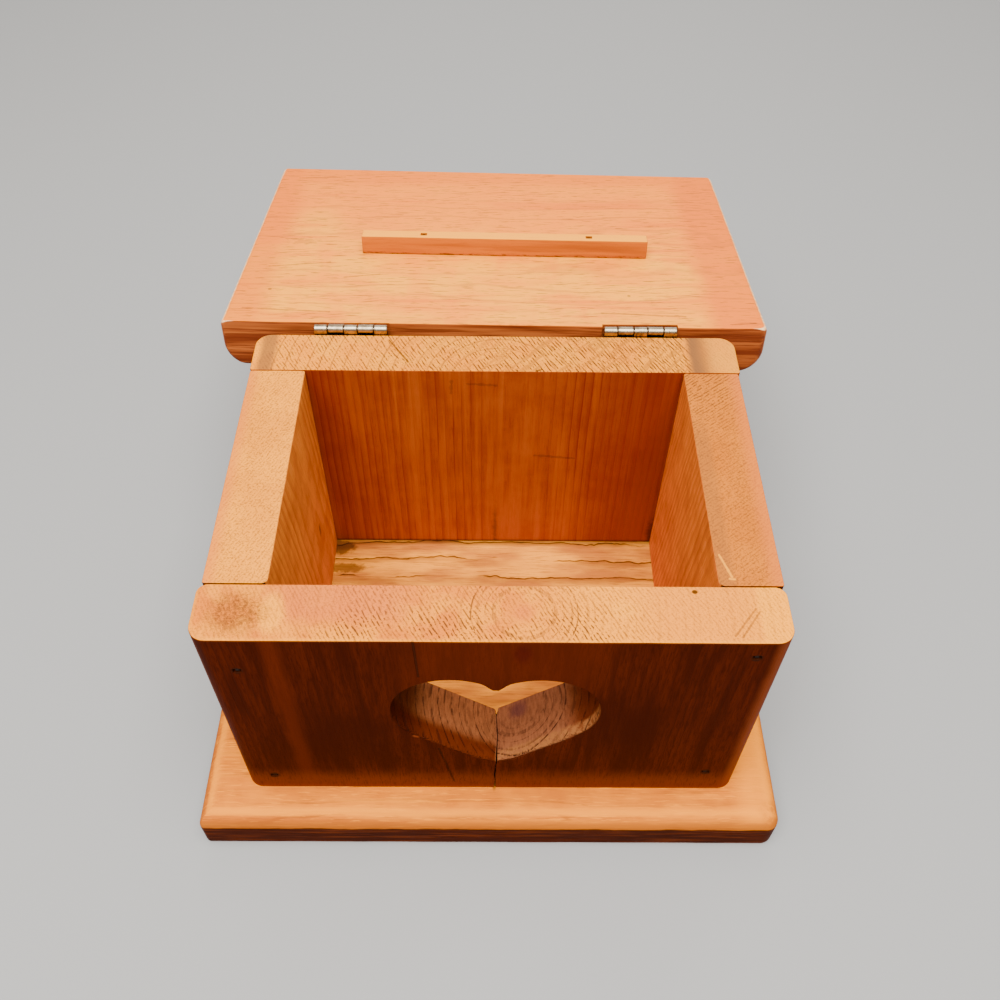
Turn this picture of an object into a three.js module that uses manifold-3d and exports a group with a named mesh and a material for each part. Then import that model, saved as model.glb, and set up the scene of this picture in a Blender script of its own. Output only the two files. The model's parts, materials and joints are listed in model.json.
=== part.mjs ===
// Keepsake box: a small pine box with a heart sawn through its front, a split below the heart,
// and a lid on two little hinges, laid back behind the box with its underside up.
// Millimetres, +Z up, +X to the right of the front. The origin is the centre of the base's underside.
import * as THREE from 'three';
import { mergeVertices } from 'three/addons/utils/BufferGeometryUtils.js';
import Module from 'manifold-3d';

const wasm = await Module();
wasm.setup();

// Driving dimensions of the boards
const STOCK = 19.05;
const BACK_STOCK = 18.2;
const GAP = 0.3;

const BASE_WIDTH = 203.2;
const BASE_DEPTH = 152.4;
const BASE_ROUND = 7;
const BASE_FOOT_EASE = 1.2;
const BASE_CORNER = 2;
const BASE_WORN_CORNER = 4.5;

const WALL_HEIGHT = 97.5;
const BOX_DEPTH = 127;
const FRONT_LEFT = -85;
const FRONT_RIGHT = 85.4;
const BACK_LEFT = -84.2;
const BACK_RIGHT = 85.9;
const SIDE_LEFT = -84;
const SIDE_RIGHT = 85.2;
const CORNER_FRONT = 5.2;
const CORNER_FRONT_REAR = 3.2;
const CORNER_BACK = 5.5;
const CORNER_SMALL = 0.8;
const CORNER_SIDE_INNER = 1.8;
const TOP_EASE = 0.35;
const CORNER_STEPS = 4;

// The heart, in the plane of the front board
const HEART_X = 1.5;
const HEART_TIP_Z = 40.95;
const LOBE_RADIUS = 18.7;
const LOBE_OFFSET = 13.6;
const LOBE_Z = 76.95;
const LINE_STEPS = 8;
const LINE_CROWDING = 1.4;
const LOBE_STEPS = 20;
const SOFT_STEPS = 4;
const SOFT_TIP = { face: 0.9, depth: 2.2 };
const SOFT_LOWER = { face: 3.4, depth: 5.4 };
const SOFT_UPPER = { face: 0.6, depth: 0.9 };
const SOFT_TIP_LENGTH = 7;
const SOFT_FADE = { lineShare: 0.7, lobeAngle: 0.25 };

// The split below the heart
const SPLIT_WIDTH = 0.6;
const SPLIT_TOP_X = 1.85;
const SPLIT_FOOT_X = 1.35;
const SPLIT_NOTCH_WIDTH = 1.7;
const SPLIT_NOTCH_DEPTH = 3;

// The lid, drawn shut; its plan is measured from the rear edge, to the front
const LID_LEFT = { rear: -98.8, front: -99.6, depth: 136.9 };
const LID_RIGHT = { rear: 99.2, front: 98, depth: 133.5 };
const LID_ROUND = 9;
const LID_REAR_EASE = 2;
const LID_END_UNDER_EASE = 2.6;
const LID_FRONT_UNDER_EASE = 1.6;
const LID_REAR_UNDER_EASE = 0.5;
const LID_CORNER = 1.8;
const LID_WORN_CORNER = 3;
const LID_SKEW = 0.8;
const LID_REAR_SETBACK = 2.3;
const LID_LEAN = 9.8;

const BATTEN = { left: -53.1, right: 59.9, fromRear: 52.2, width: 5.8, height: 7.2, turn: 0.6 };
const BATTEN_EASE = 0.5;

// The hinges; the pin line lies behind the back board, a little above its top
const PIN_BEHIND = 1.9;
const PIN_ABOVE = 1.2;
const PIN_RADIUS = 0.7;
const KNUCKLE_RADIUS = 1.55;
const KNUCKLE_BORE = 1.0;
const HINGE_LENGTH = 26;
const BOX_KNUCKLE = 4.6;
const HINGE_CENTRES = { left: -51, right: 52.8 };
const LEAF_THICKNESS = 0.9;
const LEAF_REACH = 9.7;
const LEAF_KNUCKLE_CLEARANCE = 0.35;
const BOX_LEAF_BACK = -1.6;
const LID_LEAF_BACK = -2.7;
const ROUND_SIDES = 16;

const SCREW = { headRadius: 1.8, shankRadius: 0.9, length: 9, slotWidth: 0.5, slotDepth: 0.35 };
const SCREW_UP = 6;
const SCREW_ACROSS = 8.4;

// Brads: headed at z = 0 and driven towards -z of their own frame
const BRAD = { headWidth: 2.1, headHeight: 1.6, headThick: 0.7, shank: 1.1, sunk: 0.35 };
const BRAD_LENGTH = 31;
const BATTEN_BRAD_LENGTH = 16;
const BRAD_CLEARANCE = 0.25;
const FRONT_BRADS = {
  front_brad_upper_left: [-73.6, 99.9],
  front_brad_lower_left: [-74.3, 28.6],
  front_brad_upper_right: [75.6, 108.8],
  front_brad_lower_right: [73.6, 32.6],
};
const BACK_BRADS = {
  back_brad_upper_left: [-74.5, 100],
  back_brad_lower_left: [-74.5, 32],
  back_brad_upper_right: [75.7, 100],
  back_brad_lower_right: [75.7, 32],
};
const BATTEN_BRADS = { batten_brad_left: -28.6, batten_brad_right: 36.8 };

// Places that follow from them
const WALL_FOOT = STOCK;
const WALL_TOP = WALL_FOOT + WALL_HEIGHT;
const FRONT_Y = -BOX_DEPTH / 2;
const BACK_Y = BOX_DEPTH / 2;
const FRONT_INNER_Y = FRONT_Y + STOCK;
const BACK_INNER_Y = BACK_Y - BACK_STOCK;
const PIN_Y = BACK_Y + PIN_BEHIND;
const PIN_Z = WALL_TOP + PIN_ABOVE;
const LID_UNDER_Z = GAP - PIN_ABOVE;
const LID_KNUCKLE = (HINGE_LENGTH - 3 * BOX_KNUCKLE - 4 * GAP) / 2;

const COLOURS = {
  pine: 0xd9905a,
  frontFinish: 0x7a2f12,
  lidPine: 0xdca066,
  batten: 0xc87a3e,
  nickel: 0xc9bfae,
  brad: 0x3a2a22,
};

function material(colour, roughness, metalness) {
  return new THREE.MeshStandardMaterial({ color: colour, roughness, metalness });
}

const WOOD = material(COLOURS.pine, 0.6, 0);
const FRONT_WOOD = material(COLOURS.frontFinish, 0.4, 0);
const LID_WOOD = material(COLOURS.lidPine, 0.6, 0);
const BATTEN_WOOD = material(COLOURS.batten, 0.6, 0);
const NICKEL = material(COLOURS.nickel, 0.3, 1);
const STEEL = material(COLOURS.brad, 0.5, 1);

// Solids from geometries, and back again

function toSolid(geometry) {
  const bare = new THREE.BufferGeometry();
  bare.setAttribute('position', geometry.getAttribute('position').clone());
  if (geometry.index) bare.setIndex(geometry.index.clone());
  const merged = mergeVertices(bare, 1e-4);
  return new wasm.Manifold(new wasm.Mesh({
    numProp: 3,
    vertProperties: new Float32Array(merged.getAttribute('position').array),
    triVerts: new Uint32Array(merged.index.array),
  }));
}

function toGeometry(solid) {
  const mesh = solid.getMesh();
  const geometry = new THREE.BufferGeometry();
  geometry.setAttribute('position', new THREE.BufferAttribute(mesh.vertProperties, 3));
  geometry.setIndex(new THREE.BufferAttribute(mesh.triVerts, 1));
  geometry.computeVertexNormals();
  return geometry;
}

function named(name, geometry, surface) {
  const mesh = new THREE.Mesh(geometry, surface);
  mesh.name = name;
  return mesh;
}

function boxBetween(low, high) {
  const size = high.map((value, axis) => value - low[axis]);
  const geometry = new THREE.BoxGeometry(...size);
  geometry.translate(...low.map((value, axis) => value + size[axis] / 2));
  return geometry;
}

function cylinderAlongX(radius, from, to) {
  const geometry = new THREE.CylinderGeometry(radius, radius, to - from, ROUND_SIDES);
  geometry.rotateZ(Math.PI / 2);
  geometry.translate((from + to) / 2, 0, 0);
  return geometry;
}

// A closed solid through rings of equal point count; the first and last ring are flat and are capped.
// plane turns a ring point into the two numbers that the cap is triangulated in.
function loft(rings, plane) {
  const count = rings[0].length;
  const positions = rings.flat(2);
  const index = [];
  for (let level = 0; level + 1 < rings.length; level += 1) {
    for (let i = 0; i < count; i += 1) {
      const next = (i + 1) % count;
      const a = level * count + i;
      const b = level * count + next;
      index.push(a, b, b + count, a, b + count, a + count);
    }
  }
  const cap = (ring, offset, flip) => {
    const flat = ring.map((point) => new THREE.Vector2(...plane(point)));
    THREE.ShapeUtils.triangulateShape(flat, []).forEach(([a, b, c]) => {
      index.push(offset + a, offset + (flip ? c : b), offset + (flip ? b : c));
    });
  };
  cap(rings[0], 0, true);
  cap(rings[rings.length - 1], (rings.length - 1) * count, false);
  const geometry = new THREE.BufferGeometry();
  geometry.setAttribute('position', new THREE.Float32BufferAttribute(positions, 3));
  geometry.setIndex(index);
  return geometry;
}

// Boards: a four-cornered plan, each corner and each upper and lower edge with a rounding of its own

// A bold round takes more facets than a slight one, and a mere easing is one flat
const FACETS = [
  { above: 4, steps: 6 },
  { above: 1.5, steps: 3 },
  { above: 0, steps: 1 },
];

function edgeSteps(r) {
  return FACETS.find(({ above }) => r > above).steps;
}

// How far an edge of radius r stands back at a height h from the face
function standBack(r, h) {
  return h >= r ? 0 : r - Math.sqrt(r * r - (r - h) ** 2);
}

// The heights at which a board needs a ring, counted from one face
function edgeHeights(radii) {
  const heights = new Set([0]);
  radii.forEach((r) => {
    const steps = edgeSteps(r);
    for (let step = 1; step <= steps; step += 1) {
      heights.add(Number((r * (1 - Math.cos((step / steps) * (Math.PI / 2)))).toFixed(3)));
    }
  });
  return [...heights].sort((a, b) => a - b);
}

// The plan with each side moved in by its own amount; side i runs from corner i to corner i + 1
function insetPlan(corners, insets) {
  const sides = corners.map((corner, i) => {
    const next = corners[(i + 1) % 4];
    const direction = new THREE.Vector2(next[0] - corner[0], next[1] - corner[1]).normalize();
    const inward = new THREE.Vector2(-direction.y, direction.x);
    const start = new THREE.Vector2(...corner).addScaledVector(inward, insets[i]);
    return { start, direction };
  });
  return sides.map((side, i) => {
    const before = sides[(i + 3) % 4];
    const between = side.start.clone().sub(before.start);
    const along = between.cross(side.direction) / before.direction.cross(side.direction);
    return before.start.clone().addScaledVector(before.direction, along);
  });
}

// One ring: the plan's corners turned into arcs
function roundedPlan(points, radii, z) {
  return points.flatMap((point, i) => {
    const before = points[(i + 3) % 4].clone().sub(point).normalize();
    const after = points[(i + 1) % 4].clone().sub(point).normalize();
    const half = Math.acos(THREE.MathUtils.clamp(before.dot(after), -1, 1)) / 2;
    const centre = before.clone().add(after).normalize()
      .multiplyScalar(radii[i] / Math.sin(half)).add(point);
    const first = point.clone().addScaledVector(before, radii[i] / Math.tan(half)).sub(centre);
    const sweep = Math.PI - 2 * half;
    return Array.from({ length: CORNER_STEPS + 1 }, (_, step) => {
      const turned = first.clone().rotateAround(new THREE.Vector2(), (sweep * step) / CORNER_STEPS);
      return [centre.x + turned.x, centre.y + turned.y, z];
    });
  });
}

// corners run anticlockwise from the front left; corner, top and foot hold one radius for each of them
function board({ corners, z0, z1, corner, top, foot }) {
  const leastRadius = 0.15;
  const ring = (z) => {
    const insets = corners.map((_, i) => standBack(foot[i], z - z0) + standBack(top[i], z1 - z));
    const radii = corner.map((r, i) => Math.max(r - Math.min(insets[i], insets[(i + 3) % 4]), leastRadius));
    return roundedPlan(insetPlan(corners, insets), radii, z);
  };
  const heights = [
    ...edgeHeights(foot).map((h) => z0 + h),
    ...edgeHeights(top).map((h) => z1 - h).reverse(),
  ];
  return loft(heights.map(ring), ([x, y]) => [x, y]);
}

function rectangle(x0, x1, y0, y1) {
  return [[x0, y0], [x1, y0], [x1, y1], [x0, y1]];
}

const same = (value) => [value, value, value, value];

function wall(x0, x1, y0, y1, corner) {
  return board({
    corners: rectangle(x0, x1, y0, y1),
    z0: WALL_FOOT,
    z1: WALL_TOP,
    corner,
    top: same(TOP_EASE),
    foot: same(TOP_EASE),
  });
}

// The heart's outline, anticlockwise from its tip, with the outward normal at each point
function heartOutline() {
  const reach = Math.hypot(LOBE_OFFSET, LOBE_Z - HEART_TIP_Z);
  const toCentre = Math.atan2(LOBE_Z - HEART_TIP_Z, LOBE_OFFSET);
  const slope = toCentre - Math.asin(LOBE_RADIUS / reach);
  const lineLength = Math.sqrt(reach ** 2 - LOBE_RADIUS ** 2);
  const cuspAngle = Math.PI - Math.acos(LOBE_OFFSET / LOBE_RADIUS);
  const startAngle = slope - Math.PI / 2;
  const right = [];
  for (let step = 1; step < LINE_STEPS; step += 1) {
    const along = lineLength * (step / LINE_STEPS) ** LINE_CROWDING;
    right.push({
      x: along * Math.cos(slope),
      z: HEART_TIP_Z + along * Math.sin(slope),
      nx: Math.sin(slope),
      nz: -Math.cos(slope),
      along,
    });
  }
  for (let step = 0; step < LOBE_STEPS; step += 1) {
    const angle = THREE.MathUtils.lerp(startAngle, cuspAngle, step / LOBE_STEPS);
    right.push({
      x: LOBE_OFFSET + LOBE_RADIUS * Math.cos(angle),
      z: LOBE_Z + LOBE_RADIUS * Math.sin(angle),
      nx: Math.cos(angle),
      nz: Math.sin(angle),
      along: lineLength + LOBE_RADIUS * (angle - startAngle),
    });
  }
  const tip = { x: 0, z: HEART_TIP_Z, nx: 0, nz: -1 / Math.cos(slope), along: 0 };
  const cusp = {
    x: 0,
    z: LOBE_Z + LOBE_RADIUS * Math.sin(cuspAngle),
    nx: 0,
    nz: 1 / Math.sin(cuspAngle),
    along: lineLength + LOBE_RADIUS * (cuspAngle - startAngle),
  };
  const left = right.map((point) => ({ ...point, x: -point.x, nx: -point.nx })).reverse();
  const softEnd = lineLength + LOBE_RADIUS * (SOFT_FADE.lobeAngle - startAngle);
  return { points: [tip, ...right, cusp, ...left], lineLength, softEnd };
}

// How much the heart's front edge is worn round at a point: little at the tip, most along the lower
// sides, and next to nothing round the top
function softness(point, lineLength, softEnd, key) {
  const { smoothstep, lerp } = THREE.MathUtils;
  const lower = lerp(SOFT_TIP[key], SOFT_LOWER[key], smoothstep(point.along, 0, SOFT_TIP_LENGTH));
  return lerp(lower, SOFT_UPPER[key], smoothstep(point.along, lineLength * SOFT_FADE.lineShare, softEnd));
}

// The hole through the front board: the heart with its soft front edge, longer than the board is thick
function heartHole() {
  const { points, lineLength, softEnd } = heartOutline();
  const outside = 1;
  const ring = (turn, extra) => points.map((point) => {
    const face = softness(point, lineLength, softEnd, 'face') * (1 - Math.cos(turn));
    const depth = softness(point, lineLength, softEnd, 'depth') * (1 - Math.sin(turn));
    return [HEART_X + point.x + point.nx * face, FRONT_Y + depth + extra, point.z + point.nz * face];
  });
  const quarter = Math.PI / 2;
  const turns = Array.from({ length: SOFT_STEPS + 1 }, (_, i) => quarter * (1 - i / SOFT_STEPS));
  const rear = points.map((point) => [HEART_X + point.x, FRONT_INNER_Y + outside, point.z]);
  const rings = [ring(quarter, -outside), ...turns.map((turn) => ring(turn, 0)), rear];
  return loft(rings.reverse(), ([x, , z]) => [x, z]);
}

// The split: a thin wedge from the heart's tip to the board's foot, a little wider at its rear notch
function splitCut() {
  const outside = 1;
  const above = 2;
  const foot = WALL_FOOT - outside;
  const half = SPLIT_WIDTH / 2;
  const slot = new THREE.Shape();
  slot.moveTo(SPLIT_FOOT_X - half, foot);
  slot.lineTo(SPLIT_FOOT_X + half, foot);
  slot.lineTo(SPLIT_TOP_X + half, HEART_TIP_Z + above);
  slot.lineTo(SPLIT_TOP_X - half, HEART_TIP_Z + above);
  const deep = new THREE.ExtrudeGeometry(slot, { depth: STOCK + 2 * outside, bevelEnabled: false });
  deep.rotateX(Math.PI / 2);
  deep.translate(0, FRONT_INNER_Y + outside, 0);
  const wide = SPLIT_NOTCH_WIDTH / 2;
  const notch = new THREE.Shape();
  notch.moveTo(SPLIT_TOP_X - wide, FRONT_INNER_Y + outside);
  notch.lineTo(SPLIT_TOP_X, FRONT_INNER_Y - SPLIT_NOTCH_DEPTH);
  notch.lineTo(SPLIT_TOP_X + wide, FRONT_INNER_Y + outside);
  const notchHeight = SPLIT_NOTCH_DEPTH + above;
  const notchCut = new THREE.ExtrudeGeometry(notch, { depth: notchHeight, bevelEnabled: false });
  notchCut.translate(0, 0, HEART_TIP_Z - SPLIT_NOTCH_DEPTH);
  return toSolid(deep).add(toSolid(notchCut));
}

// A brad, or the hole that holds it when it is grown by a clearance
function bradGeometry(length, grow) {
  const head = boxBetween(
    [-BRAD.headWidth / 2 - grow, -BRAD.headHeight / 2 - grow, -BRAD.headThick - grow],
    [BRAD.headWidth / 2 + grow, BRAD.headHeight / 2 + grow, grow ? BRAD.sunk + 1 : 0],
  );
  const shank = boxBetween(
    [-BRAD.shank / 2 - grow, -BRAD.shank / 2 - grow, -length - grow],
    [BRAD.shank / 2 + grow, BRAD.shank / 2 + grow, -BRAD.headThick / 2],
  );
  return toGeometry(toSolid(head).add(toSolid(shank)));
}

// Brads through a wall: facing is -1 for the front board and 1 for the back board
function wallBrad(x, z, facing, grow) {
  const geometry = bradGeometry(BRAD_LENGTH, grow);
  geometry.rotateX(-facing * (Math.PI / 2));
  geometry.translate(x, facing * (BOX_DEPTH / 2 - BRAD.sunk), z);
  return geometry;
}

function cutBrads(solid, places, facing) {
  return Object.values(places).reduce(
    (left, [x, z]) => left.subtract(toSolid(wallBrad(x, z, facing, BRAD_CLEARANCE))),
    solid,
  );
}

// Hinge screws: the head's face at the origin, driven along -y
function screwGeometry(grow) {
  const { headRadius, shankRadius, length } = SCREW;
  const cone = headRadius - shankRadius;
  const profile = [
    [0, -length - grow],
    [shankRadius + grow, -length - grow],
    [shankRadius + grow, -cone],
    [headRadius + grow, 0],
    ...(grow ? [[headRadius + grow, 1], [0, 1]] : [[0, 0]]),
  ];
  return new THREE.LatheGeometry(profile.map(([r, y]) => new THREE.Vector2(r, y)), ROUND_SIDES);
}

function screwWithSlot() {
  const { headRadius, slotWidth, slotDepth } = SCREW;
  const slot = boxBetween([-headRadius - 1, -slotDepth, -slotWidth / 2], [headRadius + 1, 1, slotWidth / 2]);
  return toGeometry(toSolid(screwGeometry(0)).subtract(toSolid(slot)));
}

// The two screws of one leaf, in the pin's frame: up is their height, negative on the box leaf
function screwPlaces(centre, up) {
  return [-SCREW_ACROSS, SCREW_ACROSS].map((across) => [centre + across, up]);
}

function cutScrews(solid, centre, up, face) {
  return screwPlaces(centre, up).reduce((left, [x, z]) => {
    const hole = screwGeometry(GAP);
    hole.translate(x, face, z);
    return left.subtract(toSolid(hole));
  }, solid);
}

// The knuckles' stretches along the pin: three of the box leaf and two of the lid leaf in between
function knuckleStretches() {
  const lengths = [BOX_KNUCKLE, LID_KNUCKLE, BOX_KNUCKLE, LID_KNUCKLE, BOX_KNUCKLE];
  let from = -HINGE_LENGTH / 2;
  return lengths.map((length, i) => {
    const stretch = { from, to: from + length, lid: i % 2 === 1 };
    from += length + GAP;
    return stretch;
  });
}

// A leaf with its knuckles, in the pin's frame with the lid shut: up is 1 for the lid leaf, -1 for the box's
function leafSolid(centre, up) {
  const isLid = up === 1;
  const back = isLid ? LID_LEAF_BACK : BOX_LEAF_BACK;
  const face = back + LEAF_THICKNESS;
  const near = KNUCKLE_RADIUS + LEAF_KNUCKLE_CLEARANCE;
  const order = (a, b) => (a < b ? [a, b] : [b, a]);
  const [low, high] = order(up * near, up * LEAF_REACH);
  const half = HINGE_LENGTH / 2;
  let solid = toSolid(boxBetween([centre - half, back, low], [centre + half, face, high]));
  const own = knuckleStretches().filter((stretch) => stretch.lid === isLid);
  own.forEach(({ from, to }) => {
    const [webLow, webHigh] = order(-up * LEAF_THICKNESS / 2, up * (near + LEAF_THICKNESS));
    const web = boxBetween([centre + from, back, webLow], [centre + to, face, webHigh]);
    const arm = boxBetween([centre + from, back, -LEAF_THICKNESS / 2], [centre + to, 0, LEAF_THICKNESS / 2]);
    solid = solid.add(toSolid(web)).add(toSolid(arm));
    solid = solid.add(toSolid(cylinderAlongX(KNUCKLE_RADIUS, centre + from, centre + to)));
  });
  solid = solid.subtract(toSolid(cylinderAlongX(KNUCKLE_BORE, centre - half - 1, centre + half + 1)));
  return cutScrews(solid, centre, up * SCREW_UP, face);
}

// The box: base, four walls and the hinge leaves on the back board

function baseBoard() {
  return board({
    corners: rectangle(-BASE_WIDTH / 2, BASE_WIDTH / 2, -BASE_DEPTH / 2, BASE_DEPTH / 2),
    z0: 0,
    z1: STOCK,
    corner: [BASE_CORNER, BASE_WORN_CORNER, BASE_CORNER, BASE_CORNER],
    top: same(BASE_ROUND),
    foot: same(BASE_FOOT_EASE),
  });
}

function frontBoard() {
  const corner = [CORNER_FRONT, CORNER_FRONT, CORNER_FRONT_REAR, CORNER_FRONT_REAR];
  const plain = toSolid(wall(FRONT_LEFT, FRONT_RIGHT, FRONT_Y, FRONT_INNER_Y, corner));
  const pierced = plain.subtract(toSolid(heartHole())).subtract(splitCut());
  return toGeometry(cutBrads(pierced, FRONT_BRADS, -1));
}

function sideBoard(outer, inner) {
  const [x0, x1] = outer < inner ? [outer, inner] : [inner, outer];
  const corner = outer < inner
    ? [CORNER_SMALL, CORNER_SIDE_INNER, CORNER_SMALL, CORNER_SMALL]
    : [CORNER_SIDE_INNER, CORNER_SMALL, CORNER_SMALL, CORNER_SMALL];
  const plain = toSolid(wall(x0, x1, FRONT_INNER_Y + GAP, BACK_INNER_Y - GAP, corner));
  return toGeometry(cutBrads(cutBrads(plain, FRONT_BRADS, -1), BACK_BRADS, 1));
}

function backBoard() {
  const corner = [CORNER_SMALL, CORNER_SMALL, CORNER_BACK, CORNER_BACK];
  const plain = toSolid(wall(BACK_LEFT, BACK_RIGHT, BACK_INNER_Y, BACK_Y, corner));
  const nailed = cutBrads(plain, BACK_BRADS, 1).translate([0, -PIN_Y, -PIN_Z]);
  const screwed = Object.values(HINGE_CENTRES).reduce(
    (left, centre) => cutScrews(left, centre, -SCREW_UP, BOX_LEAF_BACK + LEAF_THICKNESS),
    nailed,
  );
  return toGeometry(screwed.translate([0, PIN_Y, PIN_Z]));
}

// The lid, shut, in the pin's frame

function lidPlace(geometry) {
  geometry.rotateZ(THREE.MathUtils.degToRad(LID_SKEW));
  geometry.translate(0, -LID_REAR_SETBACK, LID_UNDER_Z);
  return geometry;
}

function hingeMortise(centre) {
  const half = HINGE_LENGTH / 2 + 2 * GAP;
  const low = [centre - half, LID_LEAF_BACK - GAP, LID_UNDER_Z - 1];
  const high = [centre + half, PIN_BEHIND, LEAF_REACH + GAP];
  return toSolid(boxBetween(low, high));
}

function battenBrad(x, grow) {
  const geometry = bradGeometry(BATTEN_BRAD_LENGTH, grow);
  geometry.rotateX(Math.PI);
  geometry.translate(x, -BATTEN.fromRear - BATTEN.width / 2, -BATTEN.height - GAP + BRAD.sunk);
  return geometry;
}

function turnBatten(geometry) {
  const middle = (BATTEN.left + BATTEN.right) / 2;
  geometry.translate(-middle, BATTEN.fromRear, 0);
  geometry.rotateZ(THREE.MathUtils.degToRad(BATTEN.turn));
  geometry.translate(middle, -BATTEN.fromRear, 0);
  return lidPlace(geometry);
}

function cutBattenBrads(solid) {
  return Object.values(BATTEN_BRADS).reduce(
    (left, x) => left.subtract(toSolid(turnBatten(battenBrad(x, BRAD_CLEARANCE)))),
    solid,
  );
}

function lidBoard() {
  const plain = lidPlace(board({
    corners: [
      [LID_LEFT.front, -LID_LEFT.depth],
      [LID_RIGHT.front, -LID_RIGHT.depth],
      [LID_RIGHT.rear, 0],
      [LID_LEFT.rear, 0],
    ],
    z0: 0,
    z1: STOCK,
    corner: [LID_CORNER, LID_CORNER, LID_WORN_CORNER, LID_CORNER],
    top: [LID_ROUND, LID_ROUND, LID_REAR_EASE, LID_ROUND],
    foot: [LID_FRONT_UNDER_EASE, LID_END_UNDER_EASE, LID_REAR_UNDER_EASE, LID_END_UNDER_EASE],
  }));
  const mortised = Object.values(HINGE_CENTRES).reduce(
    (left, centre) => cutScrews(
      left.subtract(hingeMortise(centre)),
      centre,
      SCREW_UP,
      LID_LEAF_BACK + LEAF_THICKNESS,
    ),
    toSolid(plain),
  );
  return toGeometry(cutBattenBrads(mortised));
}

function lidBatten() {
  const { left, right, fromRear, width, height } = BATTEN;
  const plain = board({
    corners: rectangle(left, right, -fromRear - width, -fromRear),
    z0: -height - GAP,
    z1: -GAP,
    corner: same(BATTEN_EASE),
    top: same(BATTEN_EASE / 2),
    foot: same(BATTEN_EASE),
  });
  return toGeometry(cutBattenBrads(toSolid(turnBatten(plain))));
}

// Assembly

const group = new THREE.Group();
const shutFrame = new THREE.Group();
shutFrame.position.set(0, PIN_Y, PIN_Z);
const lid = new THREE.Group();
lid.position.set(0, PIN_Y, PIN_Z);
lid.rotation.x = -THREE.MathUtils.degToRad(180 + LID_LEAN);
group.add(shutFrame, lid);

group.add(
  named('base_board', baseBoard(), WOOD),
  named('front_board', frontBoard(), FRONT_WOOD),
  named('left_side_board', sideBoard(SIDE_LEFT, SIDE_LEFT + STOCK), WOOD),
  named('right_side_board', sideBoard(SIDE_RIGHT, SIDE_RIGHT - STOCK), WOOD),
  named('back_board', backBoard(), WOOD),
);

Object.entries(FRONT_BRADS).forEach(([name, [x, z]]) => {
  group.add(named(name, wallBrad(x, z, -1, 0), STEEL));
});
Object.entries(BACK_BRADS).forEach(([name, [x, z]]) => {
  group.add(named(name, wallBrad(x, z, 1, 0), STEEL));
});

lid.add(named('lid_board', lidBoard(), LID_WOOD), named('lid_batten', lidBatten(), BATTEN_WOOD));
Object.entries(BATTEN_BRADS).forEach(([name, x]) => {
  lid.add(named(name, turnBatten(battenBrad(x, 0)), STEEL));
});

Object.entries(HINGE_CENTRES).forEach(([side, centre]) => {
  const half = HINGE_LENGTH / 2;
  const leaves = [
    { owner: 'box', up: -1, back: BOX_LEAF_BACK, frame: shutFrame },
    { owner: 'lid', up: 1, back: LID_LEAF_BACK, frame: lid },
  ];
  leaves.forEach(({ owner, up, back, frame }) => {
    frame.add(named(`${side}_hinge_${owner}_leaf`, toGeometry(leafSolid(centre, up)), NICKEL));
    screwPlaces(centre, up * SCREW_UP).forEach(([x, z], i) => {
      const screw = named(`${side}_hinge_${owner}_screw_${i + 1}`, screwWithSlot(), NICKEL);
      screw.position.set(x, back + LEAF_THICKNESS, z);
      frame.add(screw);
    });
  });
  const pin = named(`${side}_hinge_pin`, cylinderAlongX(PIN_RADIUS, centre - half, centre + half), NICKEL);
  shutFrame.add(pin);
});

export default group;
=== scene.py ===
"""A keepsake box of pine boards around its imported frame.

A heart is sawn through the front board, which has split below it. The box stands on a wider rounded
base, and its lid is laid back on two little hinges. Sizes are in millimetres where a name ends in
_MM or a comment says so, and in metres everywhere else.
"""

import json
import math
from types import SimpleNamespace

import bpy
from mathutils import Matrix, Vector


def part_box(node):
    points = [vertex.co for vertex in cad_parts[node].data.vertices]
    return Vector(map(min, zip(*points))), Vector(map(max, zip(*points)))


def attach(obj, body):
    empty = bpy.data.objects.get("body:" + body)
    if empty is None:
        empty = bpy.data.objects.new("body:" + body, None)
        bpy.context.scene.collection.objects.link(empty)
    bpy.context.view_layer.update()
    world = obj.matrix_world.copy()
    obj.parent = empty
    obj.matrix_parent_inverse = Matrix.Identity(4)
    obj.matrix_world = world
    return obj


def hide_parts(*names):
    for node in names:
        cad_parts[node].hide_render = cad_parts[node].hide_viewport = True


bl_info = {
    "name": "Keepsake Box",
    "version": (1, 0, 0),
    "blender": (4, 5, 0),
    "location": "3D View > Sidebar > Keepsake Box",
    "description": "Builds a small wooden keepsake box with a heart opening, piece by piece",
    "category": "Object",
}

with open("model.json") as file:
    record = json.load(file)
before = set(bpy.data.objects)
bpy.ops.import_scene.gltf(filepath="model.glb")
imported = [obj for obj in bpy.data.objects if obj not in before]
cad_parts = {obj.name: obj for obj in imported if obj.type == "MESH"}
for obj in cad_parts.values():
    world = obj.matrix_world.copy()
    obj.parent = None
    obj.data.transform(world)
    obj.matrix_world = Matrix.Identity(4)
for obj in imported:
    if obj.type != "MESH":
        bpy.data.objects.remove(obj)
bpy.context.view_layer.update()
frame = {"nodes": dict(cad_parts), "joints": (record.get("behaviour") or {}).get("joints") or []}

MM = 0.001
QUARTER_TURN = math.pi / 2
CREASE_ANGLE = math.radians(32)

# The camera of the photograph: 1000 by 1000 pixels
IMAGE_WIDTH = 1000
FOCAL_PIXELS = 1002.2
SENSOR_MM = 36.0
CAMERA_PLACE = (0.000047, -0.20961, 0.35657)
CAMERA_RIGHT = (0.99995, 0.0002, 0.01008)
CAMERA_DOWN = (0.00656, -0.77265, -0.63479)

# The lid's hinge, as the frame has it; at rest the lid is laid back past level
HINGE = frame["joints"][0]
PIN = Vector(HINGE["pos_m"])
LID_TURN = -math.radians(HINGE["range_deg"][1])
OPEN_LID = Matrix.Translation(PIN) @ Matrix.Rotation(LID_TURN, 4, "X")

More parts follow.
